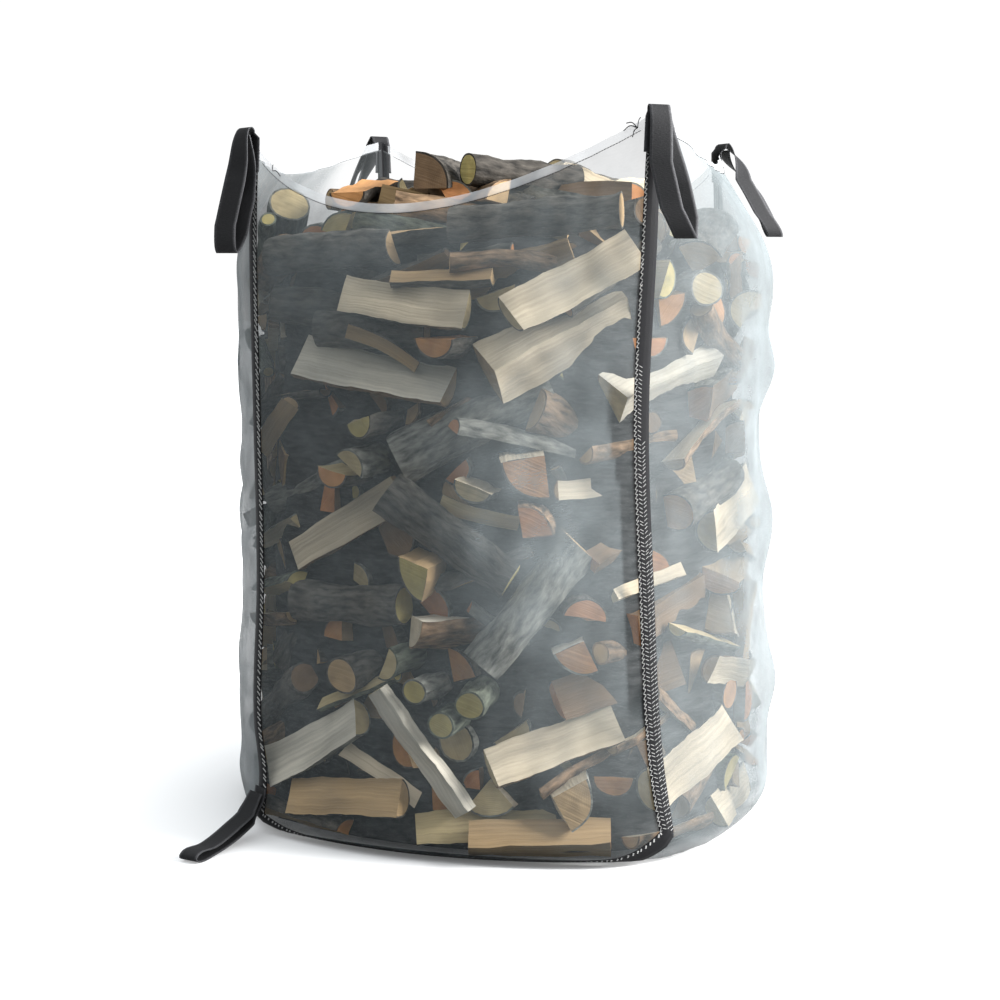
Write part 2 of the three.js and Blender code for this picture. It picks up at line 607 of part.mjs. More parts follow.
// Two logs are apart when some face or edge direction shows a gap between their shadows
function apart(a, b) {
  const between = b.centre.clone().sub(a.centre);
  if (between.length() > a.reach + b.reach + LOG_APART) return true;
  const crossings = a.edges.flatMap((p) => b.edges.map((q) => p.clone().cross(q)));
  for (const direction of [...a.faces, ...b.faces, ...crossings]) {
    if (direction.lengthSq() < 1e-6) continue;
    const way = direction.clone().normalize();
    const middle = between.dot(way);
    const shadowA = a.corners.map((p) => p.dot(way));
    const shadowB = b.corners.map((p) => p.dot(way) + middle);
    const above = Math.min(...shadowB) - Math.max(...shadowA);
    const below = Math.min(...shadowA) - Math.max(...shadowB);
    const gap = Math.max(above, below);
    if (gap >= LOG_APART) return true;
  }
  return false;
}

function depthInWall(wall, point) {
  const [a, b] = wallEnds(wall, point.z);
  const chord = b.clone().sub(a);
  const from = point.clone().sub(a);
  const across = from.dot(chord) / chord.lengthSq();
  if (across < -0.02 || across > 1.02) return Infinity;
  return belly(wall, clamp01(across), point.z) - from.dot(wallOutward(wall, point.z));
}

function insideBag(log) {
  return log.corners.every((corner) => {
    const point = corner.clone().add(log.centre);
    const turned = halfTurn(point);
    const depths = ["front", "right"].flatMap((wall) => [depthInWall(wall, point), depthInWall(wall, turned)]);
    return Math.min(...depths) >= LOG_CLEAR;
  });
}

// Small moves from a log's place, nearest first: into the pile, or sideways at twice the cost
const NUDGES = [];
for (let deep = 0; deep <= SETTLE_DEEPEST; deep += SETTLE_STEP) {
  for (let ring = 0; ring <= NUDGE_RINGS; ring += 1) {
    for (let k = 0; k < (ring ? 8 : 1); k += 1) {
      const shift = ring * NUDGE_STEP;
      const angle = (Math.PI * k) / 4;
      const beside = shift * Math.cos(angle);
      NUDGES.push({ deep, beside, up: shift * Math.sin(angle), cost: deep + 2 * shift });
    }
  }
}
NUDGES.sort((a, b) => a.cost - b.cost);

// Places a wall log against the cloth, or as near to it as leaves it clear of every log before it
function settleWallLog(row, placed) {
  const [a, b] = wallEnds(row.wall, row.up);
  const along = row.wall === "front" ? (row.across - a.x) / (b.x - a.x) : (row.across - a.y) / (b.y - a.y);
  const before = wallAt(row.wall, along - 0.02, row.up);
  const beside = wallAt(row.wall, along + 0.02, row.up).sub(before).setZ(0).normalize();
  const outward = new THREE.Vector3(beside.y, -beside.x, 0);
  const up = new THREE.Vector3(0, 0, 1);
  const [tilt, dip] = [radians(row.tilt), radians(row.dip)];
  const flat = beside.clone().multiplyScalar(Math.cos(tilt)).addScaledVector(up, Math.sin(tilt));
  const axis = flat.multiplyScalar(Math.cos(dip)).addScaledVector(outward, -Math.sin(dip));
  const endOn = row.dip > 45;
  const bark = (endOn ? up : outward).clone().applyAxisAngle(axis, radians(row.roll));
  const place = wallAt(row.wall, along, row.up);
  if (endOn) place.addScaledVector(axis, row.length / 2);
  for (const nudge of NUDGES) {
    const centre = place.clone().addScaledVector(outward, -nudge.deep).addScaledVector(beside, nudge.beside);
    const log = makeLog(row.cut, row.size, row.length, centre.addScaledVector(up, nudge.up), axis, bark);
    const lowest = Math.min(...log.corners.map((p) => p.z)) + log.centre.z;
    log.centre.z += Math.max(0, FLOOR_CLEAR - lowest);
    if (insideBag(log) && placed.every((other) => apart(log, other)) && apart(log, turnedLog(log))) return log;
  }
  throw new Error(`no room for the log at ${row.wall} ${row.across}, ${row.up}`);
}

// Height of the pile's rounded top at a place seen from above
function pileTop(x, y) {
  const share = Math.hypot(x, y) / PILE_RADIUS;
  const above = PILE.findLastIndex((row) => row.share > share);
  const [low, high] = [PILE[above], PILE[above + 1] ?? PILE[above]];
  return low === high ? low.z : mix(low.z, high.z, (low.share - share) / (low.share - high.share));
}

// Beds a top log half into the pile's top, or as much higher as leaves it clear of the logs below
function settleTopLog(row, placed) {
  const flat = new THREE.Vector3(Math.cos(radians(row.heading)), Math.sin(radians(row.heading)), 0);
  const axis = flat.multiplyScalar(Math.cos(radians(row.slope))).setZ(Math.sin(radians(row.slope)));
  const bark = new THREE.Vector3(0, 0, 1).applyAxisAngle(axis, radians(row.roll));
  const place = new THREE.Vector3(row.x, row.y, pileTop(row.x, row.y));
  const log = makeLog(row.cut, row.size, row.length, place, axis, bark);
  for (let lift = 0; lift < 200; lift += SETTLE_STEP) {
    if (placed.every((other) => apart(log, other))) return log;
    log.centre.z += SETTLE_STEP;
  }
  throw new Error(`no room for the top log at ${row.x}, ${row.y}`);
}

function logGeometry(log, grow = 0) {
  const { cut, size, length, centre, basis } = log;
  const shape = logShape(cut, size);
  const depth = length + 2 * grow;
  const geometry = new THREE.ExtrudeGeometry(shape, { depth, bevelEnabled: false, curveSegments: 1 });
  geometry.translate(0, 0, -length / 2 - grow);
  const outline = shape.getPoints();
  const nearest = Math.min(
    ...outline.map((p, k) => {
      const q = outline[(k + 1) % outline.length];
      return p.distanceTo(q) > 1e-3 ? Math.abs(p.x * q.y - q.x * p.y) / p.distanceTo(q) : Infinity;
    }),
  );
  const wider = 1 + grow / nearest;
  geometry.scale(wider, wider, 1);
  geometry.applyMatrix4(basis.clone().setPosition(centre));
  return geometry;
}

// Manifold joins and cuts
function toManifold(geometry) {
  const plain = geometry.clone();
  plain.deleteAttribute("normal");
  plain.deleteAttribute("uv");
  const merged = mergeVertices(plain, 1e-4);
  return new wasm.Manifold(
    new wasm.Mesh({
      numProp: 3,
      vertProperties: Float32Array.from(merged.attributes.position.array),
      triVerts: Uint32Array.from(merged.index.array),
    }),
  );
}

function fromManifold(solid) {
  const { vertProperties, triVerts, numProp } = solid.getMesh();
  const geometry = new THREE.BufferGeometry();
  const places = Array.from({ length: vertProperties.length / numProp }, (_, k) =>
    Array.from(vertProperties.slice(k * numProp, k * numProp + 3)),
  );
  geometry.setAttribute("position", new THREE.Float32BufferAttribute(places.flat(), 3));
  geometry.setIndex(Array.from(triVerts));
  geometry.computeVertexNormals();
  return geometry;
}

// Body of the pile: rings of the bag's own section, drawn in by a share at each height and closed at both ends
function pileBody() {
  const around = [];
  for (const [wall, turned] of [["front", false], ["right", false], ["front", true], ["right", true]]) {
    for (let k = 0; k < PILE_AROUND; k += 1) around.push({ wall, turned, across: k / PILE_AROUND });
  }
  const points = [];
  const index = [];
  PILE.forEach(({ z, share }, ring) => {
    around.forEach(({ wall, turned, across }, k) => {
      const point = wallAt(wall, across, Math.min(z, 1400));
      const placed = turned ? halfTurn(point) : point;
      points.push(new THREE.Vector3(placed.x * share, placed.y * share, z));
      if (!ring) return;
      const next = (k + 1) % around.length;
      const low = (ring - 1) * around.length;
      const high = ring * around.length;
      index.push(low + k, low + next, high + next, low + k, high + next, high + k);
    });
  });
  const top = points.length;
  points.push(new THREE.Vector3(0, 0, PILE[PILE.length - 1].z), new THREE.Vector3(0, 0, PILE[0].z));
  around.forEach((_, k) => {
    const next = (k + 1) % around.length;
    const high = (PILE.length - 1) * around.length;
    index.push(high + k, high + next, top, next, k, top + 1);
  });
  const geometry = new THREE.BufferGeometry().setFromPoints(points);
  geometry.setIndex(index);
  return geometry;
}

// Logs, each its own piece, then the rest of the pile with the same logs turned round to the back and left
const placed = [];
const counts = { front: 0, right: 0, top: 0 };
const mainLogs = [];
const turnedLogs = [];
function keepLog(face, log) {
  counts[face] += 1;
  const name = `log_${face}_${String(counts[face]).padStart(2, "0")}`;
  const surface = log.cut === "round" || log.cut === "half" ? MATERIALS.bark : MATERIALS.split;
  addMesh(name, logGeometry(log), surface);
  mainLogs.push(log);
  placed.push(log);
}
for (const row of [...WALL_LOGS].sort((a, b) => a.dip - b.dip)) {
  const log = settleWallLog(row, placed);
  keepLog(row.wall, log);
  turnedLogs.push(turnedLog(log));
  placed.push(turnedLog(log));
}
for (const row of TOP_LOGS) keepLog("top", settleTopLog(row, placed));

const fullPile = wasm.Manifold.union([
  toManifold(pileBody()),
  ...turnedLogs.map((log) => toManifold(logGeometry(log))),
]);
const bedded = fullPile.subtract(wasm.Manifold.union(mainLogs.map((log) => toManifold(logGeometry(log, GAP)))));
const whole = bedded.decompose().sort((a, b) => b.volume() - a.volume())[0];
addMesh("log_heap", fromManifold(whole), MATERIALS.pile);

export default group;
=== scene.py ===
"""Firewood bulk bag: fine net cloth, black tapes and webbing, and the split logs that fill it.

Metres, +Z up, -Y is the front, origin on the floor under the middle of the base.
"""

import math

import bpy
import numpy as np
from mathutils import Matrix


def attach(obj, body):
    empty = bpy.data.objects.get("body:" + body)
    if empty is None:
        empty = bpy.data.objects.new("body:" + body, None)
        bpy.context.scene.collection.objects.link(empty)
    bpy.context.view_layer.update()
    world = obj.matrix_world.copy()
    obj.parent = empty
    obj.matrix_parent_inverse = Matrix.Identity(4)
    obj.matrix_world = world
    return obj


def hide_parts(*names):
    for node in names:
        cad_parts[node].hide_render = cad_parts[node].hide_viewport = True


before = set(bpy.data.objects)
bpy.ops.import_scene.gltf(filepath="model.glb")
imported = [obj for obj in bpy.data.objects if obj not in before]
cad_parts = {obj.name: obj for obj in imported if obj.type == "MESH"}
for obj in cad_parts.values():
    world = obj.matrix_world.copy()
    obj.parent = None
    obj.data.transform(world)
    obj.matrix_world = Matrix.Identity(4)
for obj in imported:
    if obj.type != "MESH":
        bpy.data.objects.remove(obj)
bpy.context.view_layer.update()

# Cloth, tape and webbing
PANEL_WIDTH = 0.92
PANEL_HEIGHT = 1.6
HEM_DEPTH = 0.022
TAPE_HALF = 0.0155
TAPE_GAP = 0.0007
TAPE_THICK = 0.002
STRAP_WIDTH = 0.05
STRAP_THICK = 0.0025
STRAP_TAIL = 0.084
TAIL_GAP = 0.00095
FRONT_VEIL = 0.31
# The side walls' net covers more than the front's: partly for the slant at which the right wall is seen,
# partly painted light for the haze of sunlight on it
SIDE_VEIL = 0.47
EDGE_VEIL = 0.74
# Painted shade: the side and base strip's net is painted darker than the front's, to offset the strong light
# on the right wall
SIDE_TONE = 0.78
HEM_VEIL = 0.4
PEAK_CLEARS = 0.8
RIPPLE_SEEDS = {"front": 1.0, "right": 2.3}

# Hazy places of the front net, painted light where light catches the net: how far across, how high, their
# reach across and in height, and what they add to the yarn's cover and to its brightness
PAINTED_LIGHT_HAZE = [
    (0.76, 0.8, 0.24, 0.4, 0.5, 0.6),
    (0.1, 1.28, 0.3, 0.26, 0.5, 0.1),
]

# Form of the filled bag
SEAM_LIFT = 0.015
FOOT_ROUND = 0.13
BASE_EDGE = 0.15
SHOULDER = 0.27
FOOT_ROLL = 0.095

# Corner lines: height, left, right, front
SECTIONS = np.array([
    (0.0, -0.476, 0.528, -0.472),
    (0.13, -0.464, 0.496, -0.46),
    (0.27, -0.48, 0.474, -0.45),
    (0.6, -0.47, 0.452, -0.442),
    (1.0, -0.473, 0.435, -0.44),
    (1.37, -0.468, 0.452, -0.458),
    (1.66, -0.46, 0.464, -0.462),
])

# Peak of each corner, and how far its rounded foot lifts off the floor
CORNERS = {
    "front_left": {"peak": 1.63, "foot": 0.024},
    "front_right": {"peak": 1.663, "foot": 0.062},
}

# Belly of each wall, the share of it left at rim and foot, and the sag of its rim
WALLS = {
    "front": {"from": "front_left", "to": "front_right", "belly": 0.168, "rim": 0.3, "foot": 0.56,
              "sag": 0.172, "lowest": 0.4},
    "right": {"from": "front_right", "to": "front_left", "belly": 0.188, "rim": 0.22, "foot": 0.58,
              "sag": 0.066, "lowest": 0.58},
}

# Where logs push the cloth out, or leave a hollow: wall, across, height, reach, push
LUMPS = [
    ("front", 0.2, 1.09, 0.12, 0.014),
    ("front", 0.55, 0.96, 0.13, 0.012),
    ("front", 0.75, 1.24, 0.12, 0.014),
    ("front", 0.7, 0.56, 0.12, 0.014),
    ("front", 0.35, 0.65, 0.13, -0.012),
    ("front", 0.25, 0.24, 0.11, 0.014),
    ("front", 0.8, 0.23, 0.11, 0.012),
    ("right", 0.6, 1.29, 0.09, 0.014),
    ("right", 0.6, 1.09, 0.08, 0.026),
    ("right", 0.58, 0.94, 0.09, -0.016),
    ("right", 0.6, 0.71, 0.09, 0.028),
    ("right", 0.55, 0.33, 0.09, 0.022),
    ("right", 0.86, 1.09, 0.08, 0.016),
    ("right", 0.86, 0.87, 0.06, 0.018),
    ("right", 0.86, 0.65, 0.07, 0.018),
    ("right", 0.86, 0.37, 0.07, 0.016),
    ("right", 0.25, 0.93, 0.12, 0.012),
]

# Lifting loops: how far each hangs out and down, its turn in degrees from the corner's diagonal, its
# sideways lean at the bottom, and how far its two legs fan apart
LOOPS = {
    "lifting_loop_front_left": {"corner": "front_left", "back": False, "out": 0.052, "drop": 0.266,
                                "turn": 50, "aside": -0.053, "fan": 0.024},
    "lifting_loop_front_right": {"corner": "front_right", "back": False, "out": 0.07, "drop": 0.268,
                                 "turn": -30, "aside": 0.059, "fan": 0.031},
    "lifting_loop_back_right": {"corner": "front_left", "back": True, "out": 0.12, "drop": 0.225,
                                "turn": -90, "aside": 0.1, "fan": 0.024},
    "lifting_loop_back_left": {"corner": "front_right", "back": True, "out": 0.11, "drop": 0.235,
                               "turn": 52, "aside": 0.0, "fan": 0.018},
}
TIP_HEADING = -105
TIP_LENGTH = 0.265
TIP_LEAVES = 0.078

# Colours of wood
WOOD = {
    "alder": (0.60, 0.27, 0.11),
    "orange": (0.66, 0.33, 0.13),
    "yellow": (0.58, 0.48, 0.19),
    "straw": (0.62, 0.50, 0.28),
    "tan": (0.52, 0.36, 0.19),
    "pale": (0.74, 0.63, 0.46),
    "white": (0.85, 0.79, 0.66),
    "brown": (0.26, 0.17, 0.10),
    "black": (0.06, 0.053, 0.045),
    "dark": (0.11, 0.1, 0.085),
    "grey": (0.21, 0.21, 0.185),
    "moss": (0.15, 0.165, 0.125),
}

WOOD_SHADE = 0.85
BARK_THICK = 0.0045
CLOTH_CLEAR = 0.007
EDGE_WANDER = 0.0016

# Wood of each log: end grain, split faces, bark
LOG_WOOD = {
    "log_front_01": ("tan", "pale", "brown"),
    "log_front_02": ("tan", "white", "brown"),
    "log_front_03": ("yellow", "tan", "grey"),
    "log_front_04": ("tan", "tan", "grey"),
    "log_front_05": ("straw", "white", "brown"),
    "log_front_06": ("tan", "tan", "dark"),
    # Painted shade: log_front_07, under the rim, has its bark painted dark
    "log_front_07": ("tan", "tan", "dark"),
    "log_front_08": ("straw", "pale", "dark"),
    "log_front_09": ("yellow", "brown", "dark"),
    "log_front_10": ("yellow", "tan", "dark"),
    "log_front_11": ("straw", "pale", "brown"),
    "log_front_12": ("tan", "tan", "dark"),
    "log_front_13": ("straw", "white", "grey"),
    "log_front_14": ("straw", "pale", "grey"),
    "log_front_15": ("tan", "tan", "brown"),
    "log_front_16": ("orange", "straw", "grey"),
    "log_front_17": ("pale", "white", "brown"),
    "log_front_18": ("yellow", "straw", "moss"),
    "log_front_19": ("alder", "orange", "dark"),
    "log_front_20": ("orange", "orange", "dark"),
    "log_front_21": ("orange", "pale", "dark"),
    "log_front_22": ("alder", "orange", "brown"),
    "log_front_23": ("straw", "pale", "grey"),
    "log_front_24": ("orange", "white", "grey"),
    "log_front_25": ("straw", "pale", "moss"),
    "log_front_26": ("tan", "pale", "grey"),
    "log_front_27": ("yellow", "straw", "dark"),
    "log_front_28": ("straw", "straw", "grey"),
    "log_front_29": ("orange", "straw", "dark"),
    "log_front_30": ("yellow", "tan", "dark"),
    "log_front_31": ("tan", "tan", "dark"),
    "log_front_32": ("yellow", "straw", "grey"),
    "log_front_33": ("yellow", "straw", "moss"),
    "log_right_01": ("straw", "white", "brown"),
    "log_right_02": ("straw", "pale", "grey"),
    "log_right_03": ("straw", "pale", "grey"),
    "log_right_04": ("tan", "pale", "brown"),
    "log_right_05": ("straw", "pale", "grey"),
    "log_right_06": ("straw", "pale", "grey"),
    "log_top_01": ("orange", "orange", "black"),
    "log_top_02": ("brown", "brown", "black"),
    "log_top_03": ("yellow", "tan", "black"),
    "log_top_04": ("straw", "pale", "dark"),
    "log_top_05": ("tan", "pale", "black"),
    "log_top_06": ("straw", "white", "brown"),
    "log_top_07": ("straw", "pale", "dark"),
}

# Logs of the pile behind: their radius as a share of their thickness, how close they lie as a share of their
# two radii, their length, and how much lower and further back they lie at the front
FILL_RADIUS = 0.42
FILL_CLOSE = 0.76
FILL_LENGTH = 0.32
FRONT_SINKS = 0.045
FRONT_BACK = 0.03

# Rounded top of the pile: distance from the middle, height
PILE_TOP = np.array([(0.09, 1.556), (0.27, 1.538), (0.41, 1.475), (0.48, 1.39)])
FILL_WOODS = [
    ("straw", "pale", "grey"),
    ("yellow", "straw", "moss"),
    ("orange", "tan", "dark"),
    ("tan", "pale", "brown"),
    ("tan", "tan", "dark"),
    ("alder", "brown", "grey"),
    ("brown", "tan", "dark"),
]

# Camera: where it stands, how far it looks down, and its lens on a 36 mm wide sensor
CAMERA_AZIMUTH = 15
CAMERA_DISTANCE = 4.7
CAMERA_HEIGHT = 1.37
CAMERA_DOWN = 7.5
CAMERA_LENS = 68.3
CAMERA_SHIFT = -0.002
FLOOR_HALF = 30

LEVEL = np.array([1, 1, 0])
UPWARD = np.array([0, 0, 1])

rng = np.random.default_rng(7)


def quarter_sine(x):
    """Sine of a quarter turn taken in proportion to x, held between 0 and 1."""
    return np.sin(np.pi / 2 * np.clip(x, 0, 1))


def quarter_round(x):
    """Height of a quarter circle over its own radius, from 0 at its upright start to 1."""
    return np.sqrt(1 - (1 - np.clip(x, 0, 1)) ** 2)


def smooth_step(x):
    """0 below 0 and 1 above 1, with a level start and end between."""
    x = np.clip(x, 0, 1)
    return x * x * (3 - 2 * x)


def unit(v):
    """Vectors of length one in the same directions."""
    return v / np.maximum(np.linalg.norm(v, axis=-1, keepdims=True), 1e-12)


def walked(points):
    """Distance from the first of a line of points to each of them, along the line."""
    return np.concatenate([[0], np.cumsum(np.linalg.norm(np.diff(points, axis=0), axis=1))])


def half_turn(points):
    """Points turned half round the upright axis."""
    return points * np.array([-1, -1, 1])


def through_rows(at, places, values):
    """Cubic through rows of values: at each row its slope is the mean of the slopes on its two sides."""
    at = np.asarray(at, float)
    secant = np.diff(values, axis=0) / np.diff(places)[:, None]
    slope = np.concatenate([secant[:1], (secant[1:] + secant[:-1]) / 2, secant[-1:]])
    i = np.clip(np.searchsorted(places, at, side="right") - 1, 0, len(places) - 2)
    span = (places[i + 1] - places[i])[..., None]
    p = (at - places[i])[..., None] / span
    ends = (2 * p**3 - 3 * p**2 + 1) * values[i] + (3 * p**2 - 2 * p**3) * values[i + 1]
    return ends + (p**3 - 2 * p**2 + p) * span * slope[i] + (p**3 - p**2) * span * slope[i + 1]


def wall_ends(wall, z):
    """The two corners of a wall at height z, seen from above."""
    lines = through_rows(np.clip(z, 0, 1.66), SECTIONS[:, 0], SECTIONS[:, 1:])
    left, right, front = np.moveaxis(lines, -1, 0)
    if wall == "front":
        return np.stack([left, front], -1), np.stack([right, front], -1)
    return np.stack([right, front], -1), np.stack([-left, -front], -1)


def rim_height(wall, across):
    """Straight line between the two peaks, less a sag that is a parabola skewed towards its lowest place."""
    form = WALLS[wall]
    peaks = [CORNERS[form[end]]["peak"] for end in ("from", "to")]
    skewed = np.clip(across, 0, 1) ** (math.log(0.5) / math.log(form["lowest"]))
    return peaks[0] + (peaks[1] - peaks[0]) * across - form["sag"] * 4 * skewed * (1 - skewed)


def foot_height(wall, across):
    """Lift of the foot seam: a little all along, and a parabola up to each rounded corner."""
    form = WALLS[wall]
    from_start = (1 - np.clip(across * PANEL_WIDTH / FOOT_ROUND, 0, 1)) ** 2
    from_end = (1 - np.clip((1 - across) * PANEL_WIDTH / FOOT_ROUND, 0, 1)) ** 2
    return SEAM_LIFT + CORNERS[form["from"]]["foot"] * from_start + CORNERS[form["to"]]["foot"] * from_end


def belly(wall, across, z):
    """A parabola across the wall, drawn in at the rim and rolled under at the foot, with bells for lumps."""
    form = WALLS[wall]
    top = form["rim"] + (1 - form["rim"]) * quarter_sine((rim_height(wall, across) - z) / SHOULDER)
    bottom = form["foot"] + (1 - form["foot"]) * quarter_round((z - foot_height(wall, across)) / FOOT_ROLL)
    out = form["belly"] * top * bottom
    for where, at, height, reach, push in LUMPS:
        if where == wall:
            away = np.hypot((across - at) * PANEL_WIDTH, z - height) / reach
            out = out + push * np.exp(-away**2)
    return out * 4 * across * (1 - across)


def wall_at(wall, across, z, extra=0):
    """Point of a wall: along the line between its corners, then outward by the belly and any extra."""
    across, z = np.broadcast_arrays(np.asarray(across, float), np.asarray(z, float))
    a, b = wall_ends(wall, z)
    chord = b - a
    outward = unit(np.stack([chord[..., 1], -chord[..., 0]], -1))
    flat = a + chord * across[..., None] + outward * (belly(wall, across, z) + extra)[..., None]
    return np.concatenate([flat, z[..., None]], -1)


def wall_point(wall, across, up, extra=0):
    """Point of a wall by its shares across and up from foot to rim, in even steps round the rolled foot."""
    across, up = np.broadcast_arrays(np.asarray(across, float), np.asarray(up, float))
    foot = foot_height(wall, across)
    high = (rim_height(wall, across) - foot) * up
    turn = np.clip(high / FOOT_ROLL, 0, 1)
    bulge = 4 * across * (1 - across)
    rolled = FOOT_ROLL * (turn + (1 - np.cos(np.pi / 2 * turn) - turn) * bulge)
    return wall_at(wall, across, foot + np.where(turn < 1, rolled, high), extra)


def left_point(depth, up, extra=0):
    """Point of the left wall: the right wall turned half round."""
    return half_turn(wall_point("right", 1 - np.asarray(depth, float), up, extra))


def base_point(along, depth):
    """Patch blended between the four foot lines, its height fading to the floor away from them."""
    along, depth = np.broadcast_arrays(np.asarray(along, float), np.asarray(depth, float))
    u, v = along[..., None], depth[..., None]
    front, back = wall_point("front", along, 0), half_turn(wall_point("front", 1 - along, 0))
    left, right = left_point(depth, 0), wall_point("right", depth, 0)
    front_left, front_right = wall_point("front", 0, 0), wall_point("front", 1, 0)
    back_left, back_right = left_point(1, 0), wall_point("right", 1, 0)
    corners = (front_left * (1 - u) + front_right * u) * (1 - v) + (back_left * (1 - u) + back_right * u) * v
    point = front * (1 - v) + back * v + left * (1 - u) + right * u - corners
    edge = np.min([along, 1 - along, depth, 1 - depth], axis=0) * PANEL_WIDTH
    point[..., 2] = np.maximum(point[..., 2], SEAM_LIFT) * (1 - quarter_sine(edge / BASE_EDGE))
    return point


def ripple(across, z, up, seed):
    """Small folds: slanting waves all over, and gathers that fan down from the rim, none at the seams."""
    seam = smooth_step((np.minimum(across, 1 - across) - 0.03) / 0.1) * smooth_step((up - 0.015) / 0.05)
    broad = np.sin(23 * across + 9 * z + seed) * np.sin(31 * z - 8 * across + 2 * seed)
    fine = np.sin(61 * across - 14 * z + 3 * seed) * np.sin(17 * z + 5 * seed)
    gather = np.sin(70 * across + 6 * np.sin(5 * across + seed)) * np.exp(-(1 - up) * PANEL_HEIGHT / 0.16)
    return seam * (0.0022 * broad + 0.0012 * fine + 0.0035 * gather)


def new_object(name, points, faces, smooth=True, colours=None, floats=None, uv=None):
    """Mesh object from points and lists of faces, with point attributes and a UV map in metres."""
    mesh = bpy.data.meshes.new(name)
    mesh.from_pydata(points.reshape(-1, 3), [], [f for group in faces for f in group.tolist()])
    mesh.polygons.foreach_set("use_smooth", np.full(len(mesh.polygons), smooth))
    for key, values in (floats or {}).items():
        layer = mesh.attributes.new(key, "FLOAT", "POINT")
        layer.data.foreach_set("value", np.ascontiguousarray(values, dtype=np.float32).ravel())
    for key, values in (colours or {}).items():
        layer = mesh.attributes.new(key, "FLOAT_COLOR", "POINT")
        rgba = np.concatenate([values.reshape(-1, 3), np.ones((values.size // 3, 1))], 1)
        layer.data.foreach_set("color", rgba.astype(np.float32).ravel())
    if uv is not None:
        corner = np.empty(len(mesh.loops), dtype=np.int32)
        mesh.loops.foreach_get("vertex_index", corner)
        layer = mesh.uv_layers.new(name="UVMap")
        layer.data.foreach_set("uv", uv.reshape(-1, 2)[corner].astype(np.float32).ravel())
    obj = bpy.data.objects.new(name, mesh)
    bpy.context.scene.collection.objects.link(obj)
    return obj


def grid_faces(rows, columns, start=0, closed=False):
    """Four-sided faces of a grid numbered row by row; closed joins the last column to the first."""
    i, j = np.meshgrid(np.arange(rows - 1), np.arange(columns if closed else columns - 1), indexing="ij")
    k = (j + 1) % columns
    quads = [i * columns + j, i * columns + k, (i + 1) * columns + k, (i + 1) * columns + j]
    return np.stack(quads, -1).reshape(-1, 4) + start


def grid_normals(grid):
    """Unit normals of a grid of points, from its slopes along rows and columns."""
    return unit(np.cross(np.gradient(grid, axis=1), np.gradient(grid, axis=0)))


def grid_uv(grid):
    """Distances along the middle row and the middle column of a grid, as a UV map in metres."""
    row, column = grid[grid.shape[0] // 2], grid[:, grid.shape[1] // 2]
    return np.stack(np.meshgrid(walked(row), walked(column)), -1)


def cloth(name, grid, veil, hem, tone=1.0):
    """Sheet over a grid in the net's grey times a tone of painted light and shade, pushed out at its hem,
    which has its own veil.
    """
    points = grid + grid_normals(grid) * (hem * 0.0012)[..., None]
    floats = {"veil": veil + (HEM_VEIL - veil) * hem, "hem": hem, "tone": np.broadcast_to(tone, hem.shape)}
    return new_object(name, points, [grid_faces(*grid.shape[:2])], floats=floats, uv=grid_uv(grid))


def ribbon(base, normals, thick):
    """Points of a closed band: each row pushed half the thickness out, then back along the inner side."""
    outer, inner = base + normals * thick / 2, base - normals * thick / 2
    return np.concatenate([outer, inner[:, ::-1]], axis=1)


def along_curve(points, steps):
    """Points and directions at equal steps along a smooth curve through the given points."""
    points = np.asarray(points, float)
    far = walked(points)
    fine = through_rows(np.linspace(0, far[-1], 600), far, points)
    along = walked(fine)
    share = np.linspace(0, along[-1], steps)
    at = np.stack([np.interp(share, along, fine[:, k]) for k in range(points.shape[1])], -1)
    return at, unit(np.gradient(at, axis=0))


def segments(starts, ends, faces_out, width, thick):
    """Points and faces of short threads: a six-sided bar from each start to each end, lying on the cloth."""
    way = unit(ends - starts)
    side = unit(np.cross(way, faces_out))
    lift = np.cross(side, way)
    angle = np.arange(6) * np.pi / 3
    flat, high = np.cos(angle)[:, None] * width / 2, np.sin(angle)[:, None] * thick / 2
    ring = side[:, None] * flat + lift[:, None] * high
    points = np.concatenate([starts[:, None] + ring, ends[:, None] + ring], 1)
    one = grid_faces(2, 6, closed=True)
    quads = (one[None] + np.arange(len(starts))[:, None, None] * 12).reshape(-1, 4)
    caps = np.stack([np.arange(5, -1, -1), np.arange(6, 12)])
    caps = (caps[None] + np.arange(len(starts))[:, None, None] * 12).reshape(-1, 6)
    return points.reshape(-1, 3), quads, caps


# Cloth panels
PANEL_COLUMNS = np.linspace(0.0033, 0.9967, 121)
PANEL_ROWS = np.concatenate([np.linspace(0.002, 0.97, 176), np.linspace(0.973, 1, 14)])


def hem_share(up):
    """1 in the hem at the rim, 0 below it, with a short slope between."""
    return smooth_step((HEM_DEPTH + 0.002 - (1 - up) * PANEL_HEIGHT) / 0.004)


def near_peak(beside, up):
    """1 at a corner's peak, falling to 0 over a quarter of the wall beside it and a tenth of its height."""
    return smooth_step((up - 0.9) / 0.04) * smooth_step((0.28 - beside) / 0.1)


